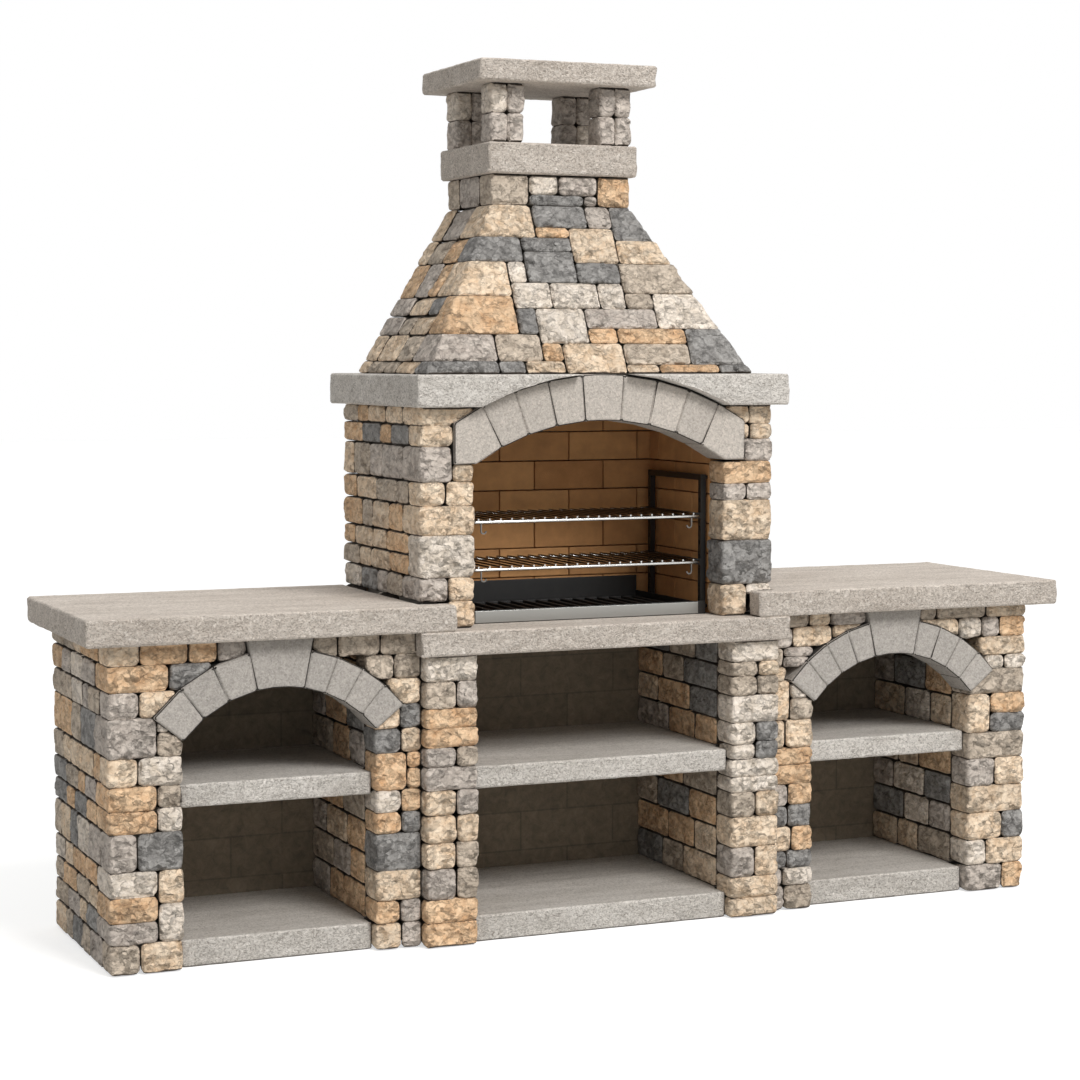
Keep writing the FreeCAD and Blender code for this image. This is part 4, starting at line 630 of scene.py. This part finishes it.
bump = add_node(tree, "ShaderNodeBump", {}, {
    "Strength": 0.8, "Distance": 0.010, "Height": blotches.outputs["Fac"]})
connect(tree, shader, {"Base Color": result(clouded), "Normal": result(bump), "Roughness": 0.9})
for unit in ("left", "centre", "right"):
    finish_node(f"{unit}_back_panel", panel)

# Side arches
# Sawn granite voussoirs with a tall keystone, set dry on the piers of the side units.
# The keystone reaches up to the worktop.


# Sawn granite: the same stone cut smooth, with an even speckle and worn arrises.
# The crystals are drawn at 4.5 mm, about twice their real size, so that they show.
def sawn_granite(name, deep, pale_tone):
    """Makes the granite of sawn arch stones, from the deeper and the paler colour that a stone may have."""
    material, tree, shader, place = new_finish(name)
    stone = add_node(tree, "ShaderNodeAttribute", {"attribute_name": "stone"}).outputs["Fac"]
    bare = add_node(tree, "ShaderNodeAttribute", {"attribute_name": "bare"}).outputs["Fac"]
    draw = add_node(tree, "ShaderNodeTexWhiteNoise", {"noise_dimensions": "1D"}, {"W": stone})
    block = add_node(tree, "ShaderNodeMix", COLOURS, {
        "Factor": draw.outputs["Value"], "A": linear(deep), "B": linear(pale_tone)})
    grain = add_node(tree, "ShaderNodeTexNoise", {}, {
        "Vector": place, "Scale": 1 / 0.009, "Detail": 7.0, "Roughness": 0.8, "Distortion": 1.0})
    crystals = add_node(tree, "ShaderNodeTexVoronoi", {}, {"Vector": place, "Scale": 1 / 0.0045})
    mixed = add_node(tree, "ShaderNodeMath", {"operation": "MULTIPLY_ADD"}, [
        crystals.outputs["Color"], 0.3, grain.outputs["Fac"]])
    shade = add_node(tree, "ShaderNodeMapRange", {}, {
        "Value": result(mixed), "From Min": 0.45, "From Max": 0.85, "To Min": 0.70, "To Max": 1.22})
    grained = add_node(tree, "ShaderNodeMix", SHADING, {
        "Factor": 1.0, "A": result(block), "B": result(shade)})
    # Painted shade on the faces that a joint closes.
    joint_shaded = add_node(tree, "ShaderNodeMix", COLOURS, {
        "Factor": bare, "A": linear("2E2924"), "B": result(grained)})
    bump = add_node(tree, "ShaderNodeBump", {}, {
        "Strength": 0.8, "Distance": 0.005, "Height": result(mixed)})
    connect(tree, shader, {
        "Base Color": result(joint_shaded), "Normal": result(bump), "Roughness": 0.8, "IOR": 1.54})
    return material


grey_sawn = sawn_granite("sawn_grey_granite", "A09A93", "ADA69E")
pale_sawn = sawn_granite("sawn_pale_granite", "ABA39A", "BAB1A7")
ROUNDED = math.radians(20)
LIFT_SHARE = 0.7
CORNER_SPREAD = 0.8


def soften(node, material, width, body="masonry", first=0):
    """Copies the solids of a CAD node with their edges rounded off, in the node's place."""
    joined = bmesh.new()
    seed = joined.verts.layers.float.new("stone")
    bare = joined.faces.layers.float.new("bare")
    for number, triangles in enumerate(solids_of(node)):
        solid = whole_faces(triangles)
        sharp = [edge for edge in solid.edges if edge.calc_face_angle(0) > ROUNDED]
        bmesh.ops.bevel(
            solid, geom=sharp, offset=width, segments=2, profile=0.5, affect="EDGES", clamp_overlap=True)
        made = {}
        for vert in solid.verts:
            made[vert] = joined.verts.new(vert.co)
            made[vert][seed] = float(first + number)
        solid.normal_update()
        for face in solid.faces:
            copied = joined.faces.new([made[vert] for vert in face.verts])
            copied[bare] = float(stands_open(face, JOINT_GAP, LIFT_SHARE * width, CORNER_SPREAD))
        solid.free()
    mesh = bpy.data.meshes.new("softened_" + node)
    joined.to_mesh(mesh)
    joined.free()
    mesh.materials.append(material)
    piece = bpy.data.objects.new("softened_" + node, mesh)
    bpy.context.scene.collection.objects.link(piece)
    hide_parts(node)
    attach(piece, body)


ARRIS = 0.004
for number, unit in enumerate(("left", "right")):
    soften(f"{unit}_arch_voussoirs", grey_sawn, ARRIS, first=100 + 20 * number)
    soften(f"{unit}_arch_keystone", grey_sawn, ARRIS, first=110 + 20 * number)

# Worktops and hearth
# The thickest granite slabs, hammered along their edges and honed a little on top.
# The hearth is honed quite flat, because the ember tray slides on it.
HONED = dict(PITCHED, Wobble=0.0)
lay_slab("left_worktop_slab", warm_granite, 150)
lay_slab("hearth_slab", warm_granite, 160, relief=HONED, level_share=0.0)
lay_slab("right_worktop_slab", warm_granite, 170)

# Firebox cores
# Walls of the same concrete as the pier cores, cast on the hearth.
# They hold the lining inside and the stones outside.
for side in ("left", "right", "back"):
    finish_node(f"firebox_{side}_core", concrete)

# Firebrick lining
# Pressed fireclay bricks laid in running bond with thin dark joints round the fire.
# They line the back and both sides, and the ladders are pinned to them.

# Pressed firebrick: a dull tan, each brick a little lighter or darker, clouded by the kiln over 50 mm.
firebrick, tree, shader, place = new_finish("pressed_firebrick")
brick = add_node(tree, "ShaderNodeAttribute", {"attribute_name": "stone"}).outputs["Fac"]
draw = add_node(tree, "ShaderNodeTexWhiteNoise", {"noise_dimensions": "1D"}, {"W": brick})
clay = add_node(tree, "ShaderNodeMix", COLOURS, {
    "Factor": draw.outputs["Value"], "A": linear("B5804F"), "B": linear("CF9A64")})
burnt = add_node(tree, "ShaderNodeTexNoise", {}, {
    "Vector": place, "Scale": 1 / 0.05, "Detail": 5.0, "Roughness": 0.6})
fired = add_node(tree, "ShaderNodeMapRange", {}, {
    "Value": burnt.outputs["Fac"], "From Min": 0.3, "From Max": 0.7, "To Min": 0.82, "To Max": 1.1})
faced = add_node(tree, "ShaderNodeMix", SHADING, {
    "Factor": 1.0, "A": result(clay), "B": result(fired)})
bump = add_node(tree, "ShaderNodeBump", {}, {
    "Strength": 0.3, "Distance": 0.002, "Height": burnt.outputs["Fac"]})
connect(tree, shader, {"Base Color": result(faced), "Normal": result(bump), "Roughness": 0.85})
BRICK_ARRIS = 0.0025
for number, side in enumerate(("back", "left", "right")):
    soften(f"{side}_firebricks", firebrick, BRICK_ARRIS, first=50 * number)

# Firebox stones
# The same split stone as the piers, laid against the cores on either side of the fire.
# They turn the corners and clad the outer sides above the worktops.
FIREBOX = {"left": "ccgclcccgccc", "right": "cclscggogcccc"}
for number, (side, kinds) in enumerate(FIREBOX.items()):
    lay_split(f"firebox_{side}_stones", kinds, 20 + number, 1500 + 100 * number)

# Firebox arch
# Sawn granite voussoirs over the fire, with springers that stand on the pier stones.
# Their stone is a little paler than that of the side arches.
soften("firebox_arch_voussoirs", pale_sawn, ARRIS, first=210)
soften("firebox_arch_keystone", pale_sawn, ARRIS, first=220)

# Mantel
# A granite shelf that carries the hood, cut to the back of the arch.
# It is in two halves, which are parted at the crown.
for number, side in enumerate(("left", "right")):
    lay_slab(f"mantel_{side}", grey_granite, 230 + 10 * number)

# Hood
# A cast concrete funnel over the fire, clad outside with split stones bonded at the hips.
# The kinds of its front are set stone by stone, and the sides are a mixture.
finish_node("hood_shell", concrete)
HOOD = {
    "front": "sscccos" + "gtots" + "osloogl" + "llltclsst" + "sscc" + "cosgs" + "tsglgo",
    "left": "", "right": ""}
for number, (side, kinds) in enumerate(HOOD.items()):
    lay_split(f"hood_{side}_stones", kinds, 30 + number, 1800 + 100 * number)

# Chimney
# A granite collar round the flue, on top of the hood, with four posts of split stone.
# A granite cap lies on the posts and keeps the rain out.
POSTS = "gglggglgggggglgg"
lay_slab("chimney_collar", warm_granite, 260)
lay_split("chimney_posts", POSTS, 40, 2200)
lay_slab("chimney_cap", warm_granite, 270)

# Grill ladders
# Two frames of slotted steel strip with rails that hold the grates.
# They are pinned to the side linings.

# Black stove paint: a satin black film with a faint orange-peel ripple of about 2 mm.
black_steel, tree, shader, place = new_finish("black_painted_steel")
film = add_node(tree, "ShaderNodeTexNoise", {}, {"Vector": place, "Scale": 1 / 0.03, "Detail": 4.0})
black = add_node(tree, "ShaderNodeMix", COLOURS, {
    "Factor": film.outputs["Fac"], "A": linear("100F0F"), "B": linear("211F1D")})
ripple = add_node(tree, "ShaderNodeTexNoise", {}, {"Vector": place, "Scale": 1 / 0.002})
bump = add_node(tree, "ShaderNodeBump", {}, {
    "Strength": 0.15, "Distance": 0.0005, "Height": ripple.outputs["Fac"]})
connect(tree, shader, {"Base Color": result(black), "Normal": result(bump), "Roughness": 0.42})
for side in ("left", "right"):
    finish_node(f"grill_ladder_{side}", black_steel)
finish_node("ladder_wall_pins", black_steel)

# Grates
# Two grates of chromed wire: a bent frame rod with straight wires welded on top of it.
# They slide in the rails of the ladders, and each has hooked catches of plain wire.

# Bright chrome: a clear mirror at the front and back ends, and near black in the middle over the fire,
# which is painted shade.
chrome, tree, shader, place = new_finish("chromed_wire")
low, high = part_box("upper_grate")
across = add_node(tree, "ShaderNodeSeparateXYZ", {}, [place])
past_middle = add_node(tree, "ShaderNodeMath", {"operation": "SUBTRACT"}, [
    across.outputs["Y"], (low.y + high.y) / 2])
reach = add_node(tree, "ShaderNodeMath", {"operation": "ABSOLUTE"}, [result(past_middle)])
# Painted shade darkens the wires in the middle, and their ends stay bright.
lit_ends = add_node(tree, "ShaderNodeMapRange", {}, {
    "Value": result(reach), "From Min": 0.38 * (high.y - low.y), "From Max": 0.49 * (high.y - low.y)})
shaded_coat = add_node(tree, "ShaderNodeMix", COLOURS, {
    "Factor": result(lit_ends), "A": linear("2B2622"), "B": linear("C4C3C0")})
smear = add_node(tree, "ShaderNodeTexNoise", {}, {"Vector": place, "Scale": 1 / 0.025, "Detail": 3.0})
dull = add_node(tree, "ShaderNodeMapRange", {}, {
    "Value": smear.outputs["Fac"], "To Min": 0.10, "To Max": 0.34})
connect(tree, shader, {"Base Color": result(shaded_coat), "Roughness": result(dull), "Metallic": 1.0})

# Drawn steel wire: the catches were never chromed, so they are a dull dark grey.
# Smoke has tarnished them in patches of about 20 mm.
dull_wire, tree, shader, place = new_finish("drawn_steel_wire")
smoke = add_node(tree, "ShaderNodeTexNoise", {}, {"Vector": place, "Scale": 1 / 0.02, "Detail": 4.0})
tarnish = add_node(tree, "ShaderNodeMix", COLOURS, {
    "Factor": smoke.outputs["Fac"], "A": linear("4F4C49"), "B": linear("827E79")})
patchy = add_node(tree, "ShaderNodeMapRange", {}, {
    "Value": smoke.outputs["Fac"], "To Min": 0.55, "To Max": 0.25})
connect(tree, shader, {"Base Color": result(tarnish), "Roughness": result(patchy), "Metallic": 1.0})


def wire_grate_tree():
    """Builds the tree of a grate: a frame rod with rounded corners and a row of wires across it."""
    tree = bpy.data.node_groups.new("wire_grate", "GeometryNodeTree")
    tree.interface.new_socket("Geometry", in_out="INPUT", socket_type="NodeSocketGeometry")
    for name in ("Width", "Depth", "Corner", "Rod", "Wire", "Wire Span"):
        tree.interface.new_socket(name, in_out="INPUT", socket_type="NodeSocketFloat")
    tree.interface.new_socket("Wire Count", in_out="INPUT", socket_type="NodeSocketInt")
    tree.interface.new_socket("Centre", in_out="INPUT", socket_type="NodeSocketVector")
    tree.interface.new_socket("Material", in_out="INPUT", socket_type="NodeSocketMaterial")
    tree.interface.new_socket("Geometry", in_out="OUTPUT", socket_type="NodeSocketGeometry")
    given = add_node(tree, "NodeGroupInput").outputs
    half = {}
    minus_half = {}
    for name in ("Depth", "Rod", "Wire", "Wire Span"):
        half[name] = result(add_node(tree, "ShaderNodeMath", {"operation": "MULTIPLY"}, [given[name], 0.5]))
    for name in ("Depth", "Wire Span"):
        minus_half[name] = result(add_node(tree, "ShaderNodeMath", {"operation": "MULTIPLY"}, [
            given[name], -0.5]))
    plan = add_node(tree, "GeometryNodeCurvePrimitiveQuadrilateral", {"mode": "RECTANGLE"}, {
        "Width": given["Width"], "Height": given["Depth"]})
    bent = add_node(tree, "GeometryNodeFilletCurve", {"mode": "POLY"}, {
        "Curve": plan.outputs["Curve"], "Radius": given["Corner"], "Count": 6})
    rod_round = add_node(tree, "GeometryNodeCurvePrimitiveCircle", {"mode": "RADIUS"}, {
        "Resolution": 12, "Radius": half["Rod"]})
    rod = add_node(tree, "GeometryNodeCurveToMesh", {}, {
        "Curve": bent.outputs["Curve"], "Profile Curve": rod_round.outputs["Curve"]})
    start = add_node(tree, "ShaderNodeCombineXYZ", {}, {"Y": minus_half["Depth"]})
    end = add_node(tree, "ShaderNodeCombineXYZ", {}, {"Y": half["Depth"]})
    line = add_node(tree, "GeometryNodeCurvePrimitiveLine", {"mode": "POINTS"}, {
        "Start": result(start), "End": result(end)})
    wire_round = add_node(tree, "GeometryNodeCurvePrimitiveCircle", {"mode": "RADIUS"}, {
        "Resolution": 10, "Radius": half["Wire"]})
    wire = add_node(tree, "GeometryNodeCurveToMesh", {}, {
        "Curve": line.outputs["Curve"], "Profile Curve": wire_round.outputs["Curve"], "Fill Caps": True})
    stacked = add_node(tree, "ShaderNodeMath", {"operation": "ADD"}, [half["Rod"], half["Wire"]])
    first = add_node(tree, "ShaderNodeCombineXYZ", {}, {
        "X": minus_half["Wire Span"], "Z": result(stacked)})
    last = add_node(tree, "ShaderNodeCombineXYZ", {}, {"X": half["Wire Span"], "Z": result(stacked)})
    row = add_node(tree, "GeometryNodeMeshLine", {"mode": "END_POINTS", "count_mode": "TOTAL"}, {
        "Count": given["Wire Count"], "Start Location": result(first), "Offset": result(last)})
    wires = add_node(tree, "GeometryNodeInstanceOnPoints", {}, {
        "Points": row.outputs["Mesh"], "Instance": wire.outputs["Mesh"]})
    joined = add_node(tree, "GeometryNodeJoinGeometry")
    tree.links.new(wires.outputs["Instances"], joined.inputs["Geometry"])
    tree.links.new(rod.outputs["Mesh"], joined.inputs["Geometry"])
    moved = add_node(tree, "GeometryNodeTransform", {}, {
        "Geometry": result(joined), "Translation": given["Centre"]})
    whole = add_node(tree, "GeometryNodeRealizeInstances", {}, {"Geometry": result(moved)})
    smooth = add_node(tree, "GeometryNodeSetShadeSmooth", {}, {"Geometry": result(whole)})
    bright = add_node(tree, "GeometryNodeSetMaterial", {}, {
        "Geometry": result(smooth), "Material": given["Material"]})
    add_node(tree, "NodeGroupOutput", {}, {"Geometry": result(bright)})
    return tree


wire_grate = wire_grate_tree()
ROD = 0.009
ROD_BEND = 0.018
WIRE = 0.005
WIRE_COUNT = 21
WIRE_INSET = 0.025
for name in ("upper", "lower"):
    low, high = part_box(f"{name}_grate")
    piece = made_by(wire_grate, f"{name}_wire_grate", bpy.data.meshes.new(f"{name}_wire_grate"), {
        "Width": high.x - low.x - ROD, "Depth": high.y - low.y - ROD, "Corner": ROD_BEND,
        "Rod": ROD, "Wire": WIRE, "Wire Span": high.x - low.x - 2 * WIRE_INSET,
        "Wire Count": WIRE_COUNT, "Material": chrome,
        "Centre": ((low.x + high.x) / 2, (low.y + high.y) / 2, low.z + ROD / 2)})
    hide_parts(f"{name}_grate")
    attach(piece, f"{name}_grate")
    finish_node(f"{name}_grate_catches", dull_wire)

# Ember tray
# A folded tray of black sheet steel that slides on the hearth, with a brushed fascia in front.
# Both have the slightly rounded edges that folding and cutting leave.
SHEET_EDGE = 0.0006
soften("ember_tray", black_steel, SHEET_EDGE, "ember_tray")

# Brushed stainless sheet: fine level scratches, drawn at 1 mm by 60 mm so that they show.
brushed, tree, shader, place = new_finish("brushed_stainless")
along = add_node(tree, "ShaderNodeMapping", {}, {
    "Vector": place, "Scale": (1 / 0.06, 1 / 0.001, 1 / 0.001)})
scratches = add_node(tree, "ShaderNodeTexNoise", {}, {
    "Vector": along.outputs["Vector"], "Scale": 1.0, "Detail": 3.0})
sheen = add_node(tree, "ShaderNodeMapRange", {}, {
    "Value": scratches.outputs["Fac"], "To Min": 0.28, "To Max": 0.5})
connect(tree, shader, {"Base Color": linear("9A9995"), "Roughness": result(sheen), "Metallic": 1.0})
soften("tray_fascia", brushed, SHEET_EDGE, "ember_tray")

# Charcoal grate
# A grid of cast iron bars that lies loose in the tray and lifts out of it.
# Its edges are blunt, as they come from the mould.

# Sand cast iron: a dull near black with the grain of the mould, drawn at 4 mm so that it shows.
iron, tree, shader, place = new_finish("sand_cast_iron")
sand = add_node(tree, "ShaderNodeTexNoise", {}, {"Vector": place, "Scale": 1 / 0.004, "Detail": 5.0})
cast = add_node(tree, "ShaderNodeMix", COLOURS, {
    "Factor": sand.outputs["Fac"], "A": linear("0F0E0E"), "B": linear("22201E")})
bump = add_node(tree, "ShaderNodeBump", {}, {
    "Strength": 0.4, "Distance": 0.001, "Height": sand.outputs["Fac"]})
connect(tree, shader, {"Base Color": result(cast), "Normal": result(bump), "Roughness": 0.6})
CAST_EDGE = 0.0015
soften("charcoal_grate", iron, CAST_EDGE, "charcoal_grate")

# Floor, light and camera
# A pale floor under a white sky, with one large soft light from the front right.
# A faint light from the left keeps that side from going dark.
FLOOR = ((-40, -40, 0), (40, -40, 0), (40, 40, 0), (-40, 40, 0))
floor_mesh = bpy.data.meshes.new("floor")
floor_mesh.from_pydata(FLOOR, [], [(0, 1, 2, 3)])
floor = bpy.data.objects.new("floor", floor_mesh)
bpy.context.scene.collection.objects.link(floor)

# Pale floor: an even matt grey that takes the shadow, lifted towards white where it is seen.
FLOOR_LIFT = 0.6
pale_floor, tree, shader, place = new_finish("pale_floor")
path = add_node(tree, "ShaderNodeLightPath")
seen = add_node(tree, "ShaderNodeMath", {"operation": "MAXIMUM"}, [
    path.outputs["Is Camera Ray"], path.outputs["Is Glossy Ray"]])
lift = add_node(tree, "ShaderNodeMath", {"operation": "MULTIPLY"}, [result(seen), FLOOR_LIFT])
connect(tree, shader, {
    "Base Color": linear("C8C8C6"), "Roughness": 0.9,
    "Emission Color": linear("FFFFFF"), "Emission Strength": result(lift)})
floor_mesh.materials.append(pale_floor)

SKY_LIGHT = 0.6
SKY_SEEN = 1.0
world = bpy.data.worlds.new("white_sky")
bpy.context.scene.world = world
world.use_nodes = True
tree = world.node_tree
path = add_node(tree, "ShaderNodeLightPath")
seen = add_node(tree, "ShaderNodeMath", {"operation": "MAXIMUM"}, [
    path.outputs["Is Camera Ray"], path.outputs["Is Glossy Ray"]])
strength = add_node(tree, "ShaderNodeMapRange", {}, {
    "Value": result(seen), "To Min": SKY_LIGHT, "To Max": SKY_SEEN})
connect(tree, tree.nodes["Background"], {"Color": linear("FFFFFF"), "Strength": result(strength)})

# Watts, width in metres and place of each lamp.
LAMPS = {"key": (1750.0, 5.0, (2.6, -10.5, 9.5)), "fill": (45.0, 3.0, (-8.0, -2.0, 3.0))}
AIM = Vector((0.0, 0.0, 1.0))
for name, (energy, size, location) in LAMPS.items():
    lamp = bpy.data.lights.new(name, "AREA")
    lamp.energy = energy
    lamp.size = size
    lamp_object = bpy.data.objects.new(name, lamp)
    lamp_object.location = location
    lamp_object.rotation_euler = (AIM - lamp_object.location).to_track_quat("-Z", "Y").to_euler()
    bpy.context.scene.collection.objects.link(lamp_object)

# The camera's place in metres, how far it looks down and turns in degrees, and its lens in millimetres.
CAMERA_PLACE = (-2.8317, -6.4233, 1.5708)
LOOKS_DOWN = 4.2067
TURNS = -23.380
LENS = 82.69
SENSOR = 36.0
camera = bpy.data.cameras.new("camera")
camera.sensor_width = SENSOR
camera.lens = LENS
camera_object = bpy.data.objects.new("camera", camera)
camera_object.location = CAMERA_PLACE
camera_object.rotation_euler = (math.radians(90 - LOOKS_DOWN), 0.0, math.radians(TURNS))
bpy.context.scene.collection.objects.link(camera_object)
bpy.context.scene.camera = camera_object
bpy.context.scene.view_settings.view_transform = "Standard"
